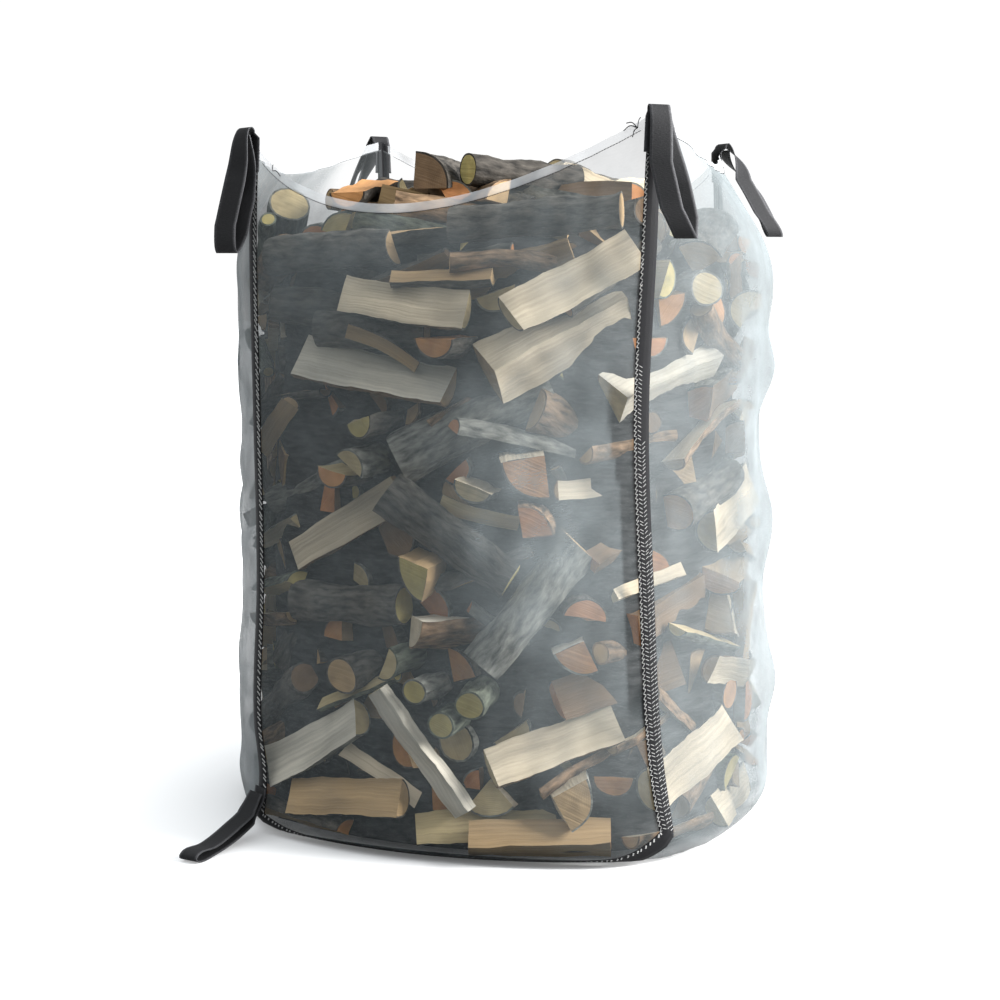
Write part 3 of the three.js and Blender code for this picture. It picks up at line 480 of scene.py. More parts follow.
def front_cover(across, height):
    """Share of the front net that its yarn covers, and how bright the yarn is.

    Both are even, with a bell added at each hazy place: painted light, the yarn covering more and painted
    brighter where light catches the net. The cover thins towards the foot, painted shade that darkens it,
    and in a strip beside the right tape, painted shade where a fold of the cloth shades the logs.
    """
    veil, tone = np.full(across.shape, 0.92), np.ones(across.shape)
    # Painted light: each hazy place adds to the yarn's cover and to its brightness
    for middle, level, reach, rise, gain, brighter in PAINTED_LIGHT_HAZE:
        share = np.exp(-((across - middle) / reach) ** 2 - ((height - level) / rise) ** 2)
        veil += gain * share
        tone += brighter * share
    # Painted shade: the cover thins by up to a third below 0.35 m, darkening the foot
    veil *= FRONT_VEIL * (1 - 0.35 * smooth_step((0.35 - height) / 0.3))
    folded = 0.046 + 0.02 * smooth_step((height - 0.8) / 0.2)
    shaded = smooth_step((across - 1 + folded / PANEL_WIDTH) / 0.004)
    shaded = shaded * smooth_step((height - 0.3) / 0.1) * smooth_step((1.15 - height) / 0.1)
    return veil * (1 - 0.6 * shaded), tone


across, up = np.meshgrid(PANEL_COLUMNS, PANEL_ROWS)
height = wall_point("front", across, up)[..., 2]
front_grid = wall_point("front", across, up, ripple(across, height, up, RIPPLE_SEEDS["front"]))
panel_hem = hem_share(up)
front_veil, front_tone = front_cover(across, height)
front_panel = cloth("net_front_panel", front_grid, front_veil, panel_hem, front_tone)
back_veil = front_veil * (1 - PEAK_CLEARS * near_peak(1 - across, up))
back_panel = cloth("net_back_panel", half_turn(front_grid), back_veil, panel_hem, front_tone)

right_height = wall_point("right", across, up)[..., 2]
right_ripple = ripple(across, right_height, up, RIPPLE_SEEDS["right"])
right_grid = wall_point("right", across, up, right_ripple)
left_grid = half_turn(right_grid)[::-1, ::-1]
along, depth = np.meshgrid(np.linspace(0, 1, 61), PANEL_COLUMNS, indexing="ij")
base_grid = base_point(along, depth)
strip_grid = np.concatenate([left_grid, base_grid[1:-1], right_grid])
strip_hem = np.concatenate([panel_hem[::-1], np.zeros(base_grid[1:-1].shape[:2]), panel_hem])
right_veil = SIDE_VEIL + (EDGE_VEIL - SIDE_VEIL) * smooth_step((across - 0.22) / 0.25)
left_veil = right_veil * (1 - PEAK_CLEARS * near_peak(across, up))
base_veil = np.full(base_grid[1:-1].shape[:2], SIDE_VEIL)
strip_veil = np.concatenate([left_veil[::-1, ::-1], base_veil, right_veil])
side_panel = cloth("net_side_base_panel", strip_grid, strip_veil, strip_hem, SIDE_TONE)

# Seam tapes: down the left seam, along the foot and up the right seam
tape_across = TAPE_HALF / PANEL_WIDTH
tape_up = TAPE_HALF / PANEL_HEIGHT
seam_up = np.linspace(1, tape_up, 220)
foot_across = np.linspace(tape_across, 1 - tape_across, 120)


def tape_line(side, share):
    """Line on the cloth beside the seam, at a share of the tape's half width: down, along the foot, up."""
    aside, lift = share * tape_across, share * tape_up
    if side == "front":
        left = wall_point("front", aside, np.append(seam_up, lift))
        foot = wall_point("front", foot_across, lift)
        right = wall_point("front", 1 - aside, np.append(lift, seam_up[::-1]))
    else:
        left = left_point(aside, np.append(seam_up, 0))
        foot = base_point(foot_across, aside)
        right = wall_point("right", aside, np.append(0, seam_up[::-1]))
    return np.concatenate([left, foot, right])


seam_line = tape_line("front", 0)
front_edge = tape_line("front", 1)
strip_edge = tape_line("strip", 1)


def side_normals(edge):
    """Outward normals of the tape's half that runs from the seam to this edge."""
    normals = unit(np.cross(np.gradient(seam_line, axis=0), edge - seam_line))
    away = np.sum(normals * (seam_line - np.array([0, 0, 0.8])), axis=1, keepdims=True)
    return normals * np.sign(away)


front_out = side_normals(front_edge)
strip_out = side_normals(strip_edge)


def tape_row(side, share, lift):
    """Line along the tape at a share of the way from the seam to one edge, lifted off the cloth."""
    return tape_line(side, share) + (front_out if side == "front" else strip_out) * lift


tape_mid = TAPE_GAP + TAPE_THICK / 2
tape_base = [tape_row("front", share, 0) for share in (1, 0.5, 0)]
tape_base += [tape_row("strip", share, 0) for share in (0, 0.5, 1)]
tape_out = np.stack([front_out] * 3 + [strip_out] * 3, axis=1)
tape_band = ribbon(np.stack(tape_base, axis=1) + tape_out * tape_mid, tape_out, TAPE_THICK)


def band_object(name, points, edge_mix):
    """Closed band over rows of points, capped at both ends; edge_mix is 1 at its edges."""
    rows, columns = points.shape[:2]
    caps = np.array([np.arange(columns)[::-1], np.arange(columns) + (rows - 1) * columns])
    uv = np.stack(np.meshgrid(np.linspace(0, 2 * STRAP_WIDTH, columns), walked(points[:, 0])), -1)
    floats = {"edge_mix": np.broadcast_to(edge_mix, (rows, columns))}
    return new_object(name, points, [grid_faces(rows, columns, closed=True), caps], floats=floats, uv=uv)


tape_edge_mix = np.zeros(12)
front_tape = band_object("seam_tape_front", tape_band, tape_edge_mix)
back_tape = band_object("seam_tape_back", half_turn(tape_band), tape_edge_mix)
seam_far = walked(seam_line)


def on_tape(side, share, far):
    """Points and normals on the tape at distances along the seam, at a share of the way to one edge."""
    row = tape_row(side, share, TAPE_GAP + TAPE_THICK + 0.0003)
    out = front_out if side == "front" else strip_out
    return tuple(np.stack([np.interp(far, seam_far, v[:, k]) for k in range(3)], -1) for v in (row, out))


def uneven_places(start, end, pitch):
    """Distances along the seam a pitch apart, each moved by up to a fifth of it."""
    places = np.arange(start + pitch, end - pitch, pitch)
    return places + pitch * rng.uniform(-0.2, 0.2, len(places))


def zigzag(side, near, far, pitch, leg):
    """Threads from one line along the tape to another and back, on one leg of the tape."""
    places = uneven_places(leg[0], leg[1] - pitch, pitch)
    (a, out), (b, _), (c, _) = (on_tape(side, near, places), on_tape(side, far, places + pitch / 2),
                                on_tape(side, near, places + pitch))
    return np.concatenate([a, b]), np.concatenate([b, c]), np.concatenate([out, out])


def slanted(side, near, far, pitch, lean, leg, highest=2.0):
    """Threads that lean across the tape, on one leg of the tape up to a greatest height."""
    places = uneven_places(leg[0], leg[1] - lean, pitch)
    (a, out), (b, _) = on_tape(side, near, places), on_tape(side, far, places + lean)
    kept = a[:, 2] < highest
    return a[kept], b[kept], out[kept]


def hem_threads():
    """Dashes along the hem's lower edge, on the front and the right wall."""
    rows = []
    share = np.linspace(0.03, 0.97, 151)
    level = 1 - HEM_DEPTH / PANEL_HEIGHT
    for wall, seed in RIPPLE_SEEDS.items():
        plain = wall_point(wall, share, level)
        line = wall_point(wall, share, level, ripple(share, plain[:, 2], level, seed) + 0.0018)
        rows.append(line)
    starts = np.concatenate([line[:-1] for line in rows])
    ends = starts + 0.82 * (np.concatenate([line[1:] for line in rows]) - starts)
    return starts, ends, unit(starts * LEVEL)


def thread_object(name, groups, width, thick, turned=True):
    """All threads of some groups in one mesh, and the same turned half round to the back."""
    starts, ends, outs = (np.concatenate(part) for part in zip(*groups))
    if turned:
        starts, ends = (np.concatenate([p, half_turn(p)]) for p in (starts, ends))
        outs = np.concatenate([outs, half_turn(outs)])
    points, quads, caps = segments(starts, ends, outs, width, thick)
    return new_object(name, points, [quads, caps], smooth=False)


foot_starts, foot_ends = seam_far[len(seam_up)], seam_far[-len(seam_up) - 1]
LEFT_LEG, FOOT, RIGHT_LEG = (0, foot_starts), (foot_starts, foot_ends), (foot_ends, seam_far[-1])
dots = [
    slanted("front", 0.36, 0.94, 0.0124, 0.003, LEFT_LEG),
    slanted("front", 0.5, 0.88, 0.0115, 0.003, FOOT),
]
chain = [
    zigzag("front", 0.66, 0.98, 0.0115, RIGHT_LEG),
    slanted("front", 0.1, 0.5, 0.0095, 0.009, RIGHT_LEG, 1.12),
    slanted("strip", 0.05, 0.42, 0.0095, 0.009, RIGHT_LEG, 0.95),
    slanted("strip", 0.55, 0.92, 0.0095, 0.009, RIGHT_LEG, 0.75),
]
dot_threads = thread_object("seam_dots", dots, 0.0036, 0.0012)
white_threads = thread_object("seam_stitches", chain, 0.0013, 0.001)
hem_stitches = thread_object("hem_stitches", [hem_threads()], 0.0016, 0.001)


def thread_ends(across, reaches):
    """Short curled threads out of one place on the front rim, each by its reach right, back and up."""
    start = wall_point("front", across, 0.992) + np.array([0, -0.004, 0])
    ends = []
    for reach in np.array(reaches):
        bend = np.array([0, -0.003, 0.25 * np.linalg.norm(reach)])
        at, way = along_curve(np.stack([start, start + 0.5 * reach + bend, start + reach]), 8)
        ends.append((at[:-1], at[1:], unit(np.cross(way[:-1], np.array([0.3, 0.2, 1.0])))))
    return ends


tails = [
    *thread_ends(0.962, [
        (-0.024, -0.004, 0.01),
        (-0.03, -0.004, -0.006),
        (0.008, -0.006, 0.022),
        (-0.01, -0.006, -0.02),
    ]),
    *thread_ends(0.06, [
        (0.02, -0.004, -0.012),
        (0.004, -0.005, 0.014),
    ]),
]
tail_threads = thread_object("loose_threads", tails, 0.0024, 0.0018, turned=False)


# Webbing loops
def corner_frame(corner, z):
    """Seam point of a front corner at height z, its two wall directions, outward diagonal and lean."""
    if corner == "front_left":
        on_front, on_side = wall_at("front", 0.02, z), half_turn(wall_at("right", 0.98, z))
    else:
        on_front, on_side = wall_at("front", 0.98, z), wall_at("right", 0.02, z)
    seam = wall_at("front", 0.0 if corner == "front_left" else 1.0, z)
    to_front, to_side = unit((on_front - seam) * LEVEL), unit((on_side - seam) * LEVEL)
    outward = -unit(to_front + to_side)
    lean = np.sqrt(1 - np.sum(to_front * outward, axis=-1, keepdims=True) ** 2)
    first, second = (to_side, to_front) if corner == "front_left" else (to_front, to_side)
    return seam, first, second, outward, lean


LOOP_SIDES = np.linspace(-1, 1, 9)


def loop_points(corner, out, drop, turn, aside, fan):
    """A tail folded over the corner, then up over the peak, out and down, round a tight bend and back."""
    peak = CORNERS[corner]["peak"]
    mid = TAPE_GAP + TAPE_THICK + TAIL_GAP + STRAP_THICK / 2
    side = LOOP_SIDES[None, :, None]
    seam, first, second, outward, lean = corner_frame(corner, peak - np.linspace(STRAP_TAIL, 0.008, 14))
    ridge = (seam + outward * mid / lean)[:, None]
    wing = np.where(side < 0, first[:, None], second[:, None])
    diagonal = outward[:, None]
    tail = ridge + (wing * STRAP_WIDTH / 2 + diagonal * 0.0005) * np.abs(side)
    square = unit(diagonal - wing * np.sum(diagonal * wing, axis=-1, keepdims=True))
    tail_out = unit(diagonal * (1 - np.abs(side)) + square * np.abs(side))

    seam, first, second, outward, _ = (part[0] for part in corner_frame(corner, np.array([peak])))
    angle = math.radians(turn)
    beside = np.array([-outward[1], outward[0], 0])
    hang = outward * math.cos(angle) + beside * math.sin(angle)
    path = [
        (mid + 0.001, 0.002),
        (mid + 0.003, 0.01),
        (mid + 0.011, 0.015),
        (mid + 0.021, 0.007),
        (out * 0.62, -drop * 0.3),
        (out * 0.9, -drop * 0.68),
        (out + 0.002, -drop + 0.012),
        (out - 0.008, -drop),
        (out - 0.019, -drop + 0.012),
        (out * 0.9 - 0.024, -drop * 0.68),
        (out * 0.62 - 0.022, -drop * 0.3 - 0.004),
        (mid + 0.013, -0.002),
    ]
    at, way = along_curve(path, 110)
    share = np.linspace(0, 1, 110)[:, None]
    turned = np.clip(np.minimum(share, 1 - share) * 4, 0, 1)
    direction = unit(outward + (hang - outward) * turned)
    top_width = unit(second - first)
    width = unit(top_width + (np.array([-hang[1], hang[0], 0]) - top_width) * turned)
    legs = np.clip((share - 0.42) / 0.2, 0, 1) - 0.5
    apart = fan * legs * np.clip(share / 0.25, 0, 1) * np.clip((1 - share) / 0.25, 0, 1)
    shift = apart + aside * np.clip(-at[:, 1:] / drop, 0, 1)
    centre = seam + direction * at[:, :1] + width * shift + UPWARD * at[:, 1:]
    face = unit(direction * way[:, 1:] - UPWARD * way[:, :1])
    hung = centre[:, None] + width[:, None] * side * STRAP_WIDTH / 2
    base = np.concatenate([tail, hung])
    normals = np.concatenate([tail_out, np.repeat(face[:, None], len(LOOP_SIDES), axis=1)])
    return ribbon(base, normals, STRAP_THICK)


def tip_points():
    """Leaves the front left foot above the tape's bend and lies folded on the floor."""
    seam, _, _, outward, lean = (part[0] for part in corner_frame("front_left", np.array([TIP_LEAVES])))
    start = float((TAPE_GAP + TAPE_THICK + STRAP_THICK / 2) / lean[0])
    heading = math.radians(TIP_HEADING)
    lying = np.array([math.cos(heading), math.sin(heading), 0])
    path = [
        (start, 0.03),
        (start + 0.004, 0.004),
        (start + 0.03, -0.026),
        (TIP_LENGTH * 0.4, -TIP_LEAVES + 0.022),
        (TIP_LENGTH * 0.75, -TIP_LEAVES + 0.005),
        (TIP_LENGTH, -TIP_LEAVES + 0.004),
        (TIP_LENGTH + 0.009, -TIP_LEAVES + 0.011),
        (TIP_LENGTH, -TIP_LEAVES + 0.02),
        (TIP_LENGTH * 0.75, -TIP_LEAVES + 0.021),
        (TIP_LENGTH * 0.42, -TIP_LEAVES + 0.042),
        (start + 0.034, -0.008),
        (start + 0.012, 0.02),
    ]
    at, way = along_curve(path, 110)
    away = np.clip(at[:, :1] / 0.06, 0, 1)
    direction = unit(outward + (lying - outward) * away)
    width = np.stack([-direction[:, 1], direction[:, 0], np.zeros(len(at))], -1)
    beside = corner_frame("front_left", TIP_LEAVES + at[:, 1])[0]
    centre = beside + (seam - beside) * away + direction * at[:, :1]
    centre[:, 2] = TIP_LEAVES + at[:, 1]
    face = unit(direction * way[:, 1:] - UPWARD * way[:, :1])
    base = centre[:, None] - width[:, None] * LOOP_SIDES[None, :, None] * STRAP_WIDTH / 2
    return ribbon(base, -np.repeat(face[:, None], len(LOOP_SIDES), axis=1), STRAP_THICK)


# The webbing's colour is a little lighter towards its edges
strap_edge_mix = np.concatenate([np.abs(LOOP_SIDES), np.abs(LOOP_SIDES)])
loop_objects = {}
for name, row in LOOPS.items():
    points = loop_points(*(row[key] for key in ("corner", "out", "drop", "turn", "aside", "fan")))
    placed = half_turn(points) if row["back"] else points
    loop_objects[name] = band_object("webbing_" + name.removeprefix("lifting_"), placed, strap_edge_mix)
loop_objects["tip_loop_front_left"] = band_object("webbing_tip_loop", tip_points(), strap_edge_mix)


# Logs
CUT_BY_CORNERS = {8: "round", 6: "half", 5: "quarter", 4: "slab"}
LOG_LAYERS = ("points", "zone", "paint", "uv", "ring")


def log_of_node(node):
    """A log's middle, directions, length and outline, read from its plain prism of points."""
    flat = np.empty(len(node.data.vertices) * 3)
    node.data.vertices.foreach_get("co", flat)
    points = np.unique(flat.reshape(-1, 3).round(5), axis=0)
    middle = points.mean(axis=0)
    axis = unit(np.linalg.svd(points - middle)[2][0])
    side = unit(np.cross(axis, [0.31, 0.22, 0.92]))
    other = np.cross(axis, side)
    far = (points - middle) @ axis
    end = points[far < 0] - middle
    outline = np.stack([end @ side, end @ other], -1)
    spread = outline - outline.mean(axis=0)
    outline = outline[np.argsort(np.arctan2(spread[:, 1], spread[:, 0]))]
    return {"middle": middle, "axes": np.stack([side, other, axis]), "length": float(np.ptp(far)),
            "outline": outline, "cut": CUT_BY_CORNERS[len(outline)]}


def cut_outline(cut, size):
    """Outline of a log's end, counter-clockwise: a disc, half a disc, a quarter or a squared slab."""
    if cut == "round":
        angle = np.arange(8) * np.pi / 4
        return size / 2 * np.stack([np.cos(angle), 0.92 * np.sin(angle)], -1)
    if cut == "half":
        angle = np.arange(6) * np.pi / 5
        return size / 2 * np.stack([np.cos(angle), 0.9 * np.sin(angle) - 0.42], -1)
    if cut == "quarter":
        angle = np.pi / 4 + np.arange(4) * np.pi / 6
        arc = size * np.stack([np.cos(angle), np.sin(angle) - 0.58], -1)
        return np.concatenate([[[0, -0.58 * size]], arc])
    return size / 2 * np.array([(-1, -0.5), (1, -0.4), (0.94, 0.45), (-0.9, 0.5)])


def turned_log(log):
    """The same log turned half round the upright axis."""
    return {**log, "middle": half_turn(log["middle"]), "axes": half_turn(log["axes"])}


def outline_runs(log):
    """Heart of the wood, and the outline in runs: bark over arcs, split wood over the longest edges."""
    outline, cut = log["outline"], log["cut"]
    count = len(outline)
    lengths = np.linalg.norm(np.roll(outline, -1, axis=0) - outline, axis=1)
    longest = np.argsort(lengths)[::-1]
    closed = np.concatenate([outline, outline])
    if cut == "round":
        return outline.mean(axis=0), [("bark", closed[:count + 1])]
    if cut == "half":
        k = longest[0] + 1
        heart = closed[k - 1:k + 1].mean(axis=0)
        return heart, [("bark", closed[k:k + count]), ("split", closed[k - 1:k + 1])]
    if cut == "quarter":
        a, b = sorted(longest[:2])
        k = b if b - a == 1 else 0
        ring = np.roll(outline, -k, axis=0)
        return ring[0], [("bark", ring[1:]), ("split", ring[:2]), ("split", np.stack([ring[-1], ring[0]]))]
    return outline.mean(axis=0), [("split", closed[k:k + 2]) for k in range(count)]


def waves(u, v, along_rate, across_rate, count=4):
    """Sum of a few slanting sines with random rates and starts, between about -1 and 1."""
    rates = rng.uniform(0.4, 1.0, (count, 2)) * np.array([along_rate, across_rate])
    rates = rates * rng.choice([-1, 1], (count, 2))
    starts = rng.uniform(0, 2 * np.pi, count)
    return np.mean(np.sin(u[..., None] * rates[:, 0] + v[..., None] * rates[:, 1] + starts), -1) * 1.6


def log_mesh(log, woods, stations, per_edge):
    """A log's sides and ends: its outline swept along its axis, rounded, rough, bent, twisted and skew-cut.

    Bark bulges between the outline's corners by the arc's own height. Roughness is a sum of sines that fades
    at each run's borders, so that neighbouring runs still meet.
    """
    heart, runs = outline_runs(log)
    length = log["length"]
    bend = rng.normal(0, 0.004, 2)
    twist = rng.normal(0, 0.07)
    taper = rng.uniform(-0.07, 0.07)
    wander = rng.uniform(0, 2 * np.pi, (2, 3))
    skew = rng.normal(0, 0.06, (2, 2))
    shade = rng.uniform(0.82, 1.12) * WOOD_SHADE
    offset = rng.uniform(0, 20, 2)
    middle = log["outline"].mean(axis=0)
    parts = {key: [] for key in (*LOG_LAYERS, "faces")}
    used = 0

    def placed(flat, far):
        """Section points at distances along the log, bent, twisted and skew-cut, in the bag's frame."""
        share = far / (length / 2)
        flat = middle + (flat - middle) * (0.955 + taper * share)[..., None]
        flat = flat + EDGE_WANDER * np.stack([
            np.sin(31 * far + 40 * flat[..., 1] + k[0]) + 0.6 * np.sin(83 * far + 70 * flat[..., 0] + k[1])
            + 0.35 * np.sin(190 * far + 50 * flat[..., 1] + k[2]) for k in wander], -1)
        turn = twist * share
        x = flat[..., 0] * np.cos(turn) - flat[..., 1] * np.sin(turn) + bend[0] * (1 - share**2)
        y = flat[..., 0] * np.sin(turn) + flat[..., 1] * np.cos(turn) + bend[1] * (1 - share**2)
        slant = np.where(share > 0, x * skew[0, 0] + y * skew[0, 1], x * skew[1, 0] + y * skew[1, 1])
        local = np.stack([x, y, far + slant * np.abs(share) ** 3], -1)
        return log["middle"] + local @ log["axes"]

    def add(points, faces, zone, wood, uv, ring):
        """Adds one run or one end to the log."""
        nonlocal used
        count = points.size // 3
        parts["points"].append(points.reshape(-1, 3))
        parts["faces"] += [f + used for f in faces]
        parts["zone"].append(np.full(count, zone))
        parts["paint"].append(np.tile(np.array(WOOD[wood]) * shade, (count, 1)))
        parts["uv"].append(uv.reshape(-1, 2) + offset)
        parts["ring"].append(np.broadcast_to(ring, (count,)))
        used += count

    far = np.linspace(-length / 2, length / 2, stations)[:, None]
    rim = []
    for kind, corners in runs:
        edges = np.diff(corners, axis=0)
        size = np.linalg.norm(edges, axis=1, keepdims=True)
        normal = np.stack([edges[:, 1], -edges[:, 0]], -1) / size
        share = np.linspace(0, 1, per_edge + 1)[None, :, None]
        arc = size**2 / (8 * np.maximum(np.linalg.norm(corners[:-1] - heart, axis=1, keepdims=True), 0.01))
        bulge = arc if kind == "bark" else np.zeros_like(arc)
        flat = corners[:-1, None] + edges[:, None] * share
        flat = flat + normal[:, None] * (bulge[:, None] * 4 * share * (1 - share))
        line = np.concatenate([flat[:, :-1].reshape(-1, 2), corners[-1:]])
        out = unit(np.stack([np.gradient(line[:, 1]), -np.gradient(line[:, 0])], -1))
        around = walked(line)
        u, v = np.broadcast_arrays(far, around)
        if kind == "bark":
            rough = 0.003 * waves(u, v, 60, 120) + 0.0025 * waves(u, v, 25, 40)
        else:
            rough = 0.0026 * waves(u, v, 10, 190) + 0.005 * waves(u, v, 22, 50)
        inset = np.clip(np.sin(np.pi * around / around[-1]), 0, 1) ** 0.6
        if log["cut"] == "round":
            inset = np.ones(len(around))
            rough[:, -1] = rough[:, 0]
        rough = rough * inset * np.clip((length / 2 - np.abs(far)) / 0.01, 0.0, 1)
        grid = placed(line + out * rough[..., None], np.broadcast_to(far, u.shape))
        wood = woods[2] if kind == "bark" else woods[1]
        zone = 0.0 if kind == "bark" else 1.0
        add(grid, [grid_faces(*grid.shape[:2])], zone, wood, np.stack([u, v], -1), 0.0)
        rim.append((kind, line))

    for end, order in ((-length / 2, -1), (length / 2, 1)):
        for kind, line in rim:
            if np.abs(np.cross(line[1:] - heart, line[:-1] - heart)).max() < 1e-7:
                continue
            inner = line
            if kind == "bark":
                away = np.linalg.norm(line - heart, axis=1, keepdims=True)
                inner = heart + (line - heart) * (1 - BARK_THICK / away)
                shell = np.stack([inner, line][::order])
                shape = shell.shape[:2]
                add(placed(shell, np.full(shape, end)), [grid_faces(*shape)], 0.0, woods[2], shell, 0.0)
            flat = np.concatenate([heart[None], inner])
            index = np.arange(1, len(line))
            fans = np.stack([np.zeros_like(index), index, index + 1], -1)[:, ::order]
            ring = np.linalg.norm(flat - heart, axis=1)
            add(placed(flat, np.full(len(flat), end)), [fans], 2.0, woods[0], flat, ring)
    joined = {key: np.concatenate(parts[key]) for key in LOG_LAYERS}
    return {**joined, "faces": parts["faces"]}


def depth_inside(points):
    """Least distance of points from the four walls, measured straight in from each wall's corner line."""
    depths = []
    for wall in ("front", "right"):
        for placed in (points, half_turn(points)):
            a, b = wall_ends(wall, placed[:, 2])
            chord, start = b - a, placed[:, :2] - a
            outward = unit(np.stack([chord[:, 1], -chord[:, 0]], -1))
            share = np.clip(np.sum(start * chord, 1) / np.sum(chord**2, 1), 0, 1)
            depths.append(belly(wall, share, placed[:, 2]) - np.sum(start * outward, 1))
    return np.min(depths, axis=0)


def held_inside(points):
    """Points moved straight towards the bag's middle until the cloth is clear of them by a small gap."""
    depth = np.where(points[:, 2] < 1.45, depth_inside(points), CLOTH_CLEAR)
    inward = -unit(points * LEVEL + 1e-9)
    return points + inward * np.maximum(CLOTH_CLEAR - depth, 0)[:, None]


def log_object(name, meshes):
    """One object from the meshes of one or more logs."""
    starts = np.cumsum([0] + [len(m["points"]) for m in meshes])
    faces = [f + start for m, start in zip(meshes, starts) for f in m["faces"]]
    joined = {key: np.concatenate([m[key] for m in meshes]) for key in LOG_LAYERS}
    return new_object(name, held_inside(joined["points"]), faces, colours={"paint": joined["paint"]},
                      floats={"zone": joined["zone"], "ring": joined["ring"]}, uv=joined["uv"])


node_logs = {name: log_of_node(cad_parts[name]) for name in LOG_WOOD}
log_objects = {}
for name, log in node_logs.items():
    log_objects[name] = log_object("wood_" + name, [log_mesh(log, LOG_WOOD[name], 22, 5)])


def along_walls(share, z):
    """Places on the front or the right wall at random, with the level directions along it and out of it."""
    on_front = rng.random(len(z))[:, None] < 0.5
    place, ahead = (
        np.where(on_front, wall_at("front", share + step, z), wall_at("right", share + step, z))
        for step in (0, 0.02)
    )
    beside = unit((ahead - place) * LEVEL)
    outward = np.stack([beside[:, 1], -beside[:, 0], np.zeros(len(z))], -1)
    return place, beside, outward, on_front


def at_either_side(middle, axis):
    """Half of the logs, at random, turned half round to the back and left walls."""
    turned = rng.random(len(middle))[:, None] < 0.5
    return np.where(turned, half_turn(middle), middle), np.where(turned, half_turn(axis), axis)


def thrown_at_walls(tries, size, deepest):
    """Random places along the walls, down to a depth: some logs end-on to the cloth, most lying along it."""
    share, z = rng.uniform(0.0, 0.98, tries), rng.uniform(0.03, 1.4, tries)
    place, beside, outward, on_front = along_walls(share, z)
    end_on = rng.random(tries) < 0.36
    dip = np.radians(np.where(end_on, rng.uniform(64, 86, tries), rng.uniform(2, 14, tries)))[:, None]
    tilt = np.radians(rng.normal(0, 28, tries))[:, None]
    axis = (beside * np.cos(tilt) + UPWARD * np.sin(tilt)) * np.cos(dip) - outward * np.sin(dip)
    inward = (np.where(end_on, 0.012, 0.03) + deepest * rng.random(tries) + FILL_RADIUS * size)[:, None]
    inward = inward + np.where(on_front, FRONT_BACK, 0)
    middle = place - outward * inward + axis * np.where(end_on, FILL_LENGTH / 2, 0)[:, None]
    return at_either_side(middle, axis)


def thrown_along_foot(tries, size, deepest):
    """Random places on the floor along the foot of the walls, lying level beside the cloth."""
    share, z = rng.uniform(0.0, 0.98, tries), FILL_RADIUS * size + 0.021
    place, beside, outward, _ = along_walls(share, z)
    middle = place - outward * (0.026 + deepest * rng.random(tries) + FILL_RADIUS * size)[:, None]
    return at_either_side(middle, beside)


def thrown_on_top(tries, size, deepest):
    """Random places bedded in the rounded top of the pile, down to a depth in thicknesses, nearly level."""
    x, y = rng.uniform(-0.42, 0.42, (2, tries))
    top = np.interp(np.hypot(x, y), PILE_TOP[:, 0], PILE_TOP[:, 1]) - np.where(y < -0.2, FRONT_SINKS, 0)
    middle = np.stack([x, y, top - rng.uniform(0.3, deepest, tries) * size], -1)
    heading, slope = rng.uniform(0, np.pi, tries), np.radians(rng.normal(0, 7, tries))
    flat = np.stack([np.cos(heading), np.sin(heading), np.zeros(tries)], -1)
    return middle, flat * np.cos(slope)[:, None] + UPWARD * np.sin(slope)[:, None]


def fill_logs(logs):
    """Logs thrown into the space that is left, biggest first, each kept where it meets no other.

    A log is taken as its axis with a radius: it is kept when points along its axis are a radius inside the
    walls and nearly as far from the axes of the others as the two radii.
    """
    middles = np.array([log["middle"] for log in logs])
    halves = np.array([log["axes"][2] * log["length"] / 2 for log in logs])
    radii = np.array([0.4 * np.ptp(log["outline"], axis=0).mean() for log in logs])
    kept = []
    probes = np.linspace(-1, 1, 7)[:, None]
    for throw, least, most, tries, deepest in FILL_ROUNDS:
        size = rng.uniform(least, most, tries)
        length = FILL_LENGTH * rng.uniform(0.82, 1.06, tries) * np.interp(size, [0.035, 0.07], [0.6, 1])
        radius = FILL_RADIUS * size
        middle, axis = throw(tries, size, deepest)
        half = axis * (length / 2 - radius * 0.4)[:, None]
        lines = middle[:, None] + half[:, None] * probes
        inside = depth_inside(lines.reshape(-1, 3)).reshape(tries, -1).min(axis=1) > radius + 0.011
        level = (lines[..., 2].min(axis=1) > radius + 0.018) & (lines[..., 2].max(axis=1) < 1.52)
        for k in np.flatnonzero(inside & level):
            between = lines[k][:, None] - middles
            share = np.clip(np.sum(between * halves, -1) / np.sum(halves**2, -1), -1, 1)
            gap = np.linalg.norm(between - halves * share[..., None], axis=-1).min(axis=0)
            if np.any(gap < FILL_CLOSE * (radii + radius[k])):
                continue
            middles = np.append(middles, middle[k:k + 1], axis=0)
            halves = np.append(halves, half[k:k + 1], axis=0)
            radii = np.append(radii, radius[k])
            cut = rng.choice(["round", "half", "quarter", "half", "quarter"])
            roll = rng.uniform(0, 2 * np.pi)
            side = unit(np.cross(axis[k], [0.31, 0.22, 0.92]))
            other = np.cross(axis[k], side)
            c, s = math.cos(roll), math.sin(roll)
            turned = [side * c + other * s, other * c - side * s]
            scale = {"round": 0.9, "half": 1.05, "quarter": 0.8}[cut]
            kept.append({"middle": middle[k], "axes": np.stack([*turned, axis[k]]), "length": length[k],
                         "outline": cut_outline(cut, size[k] * scale), "cut": cut})
    return kept


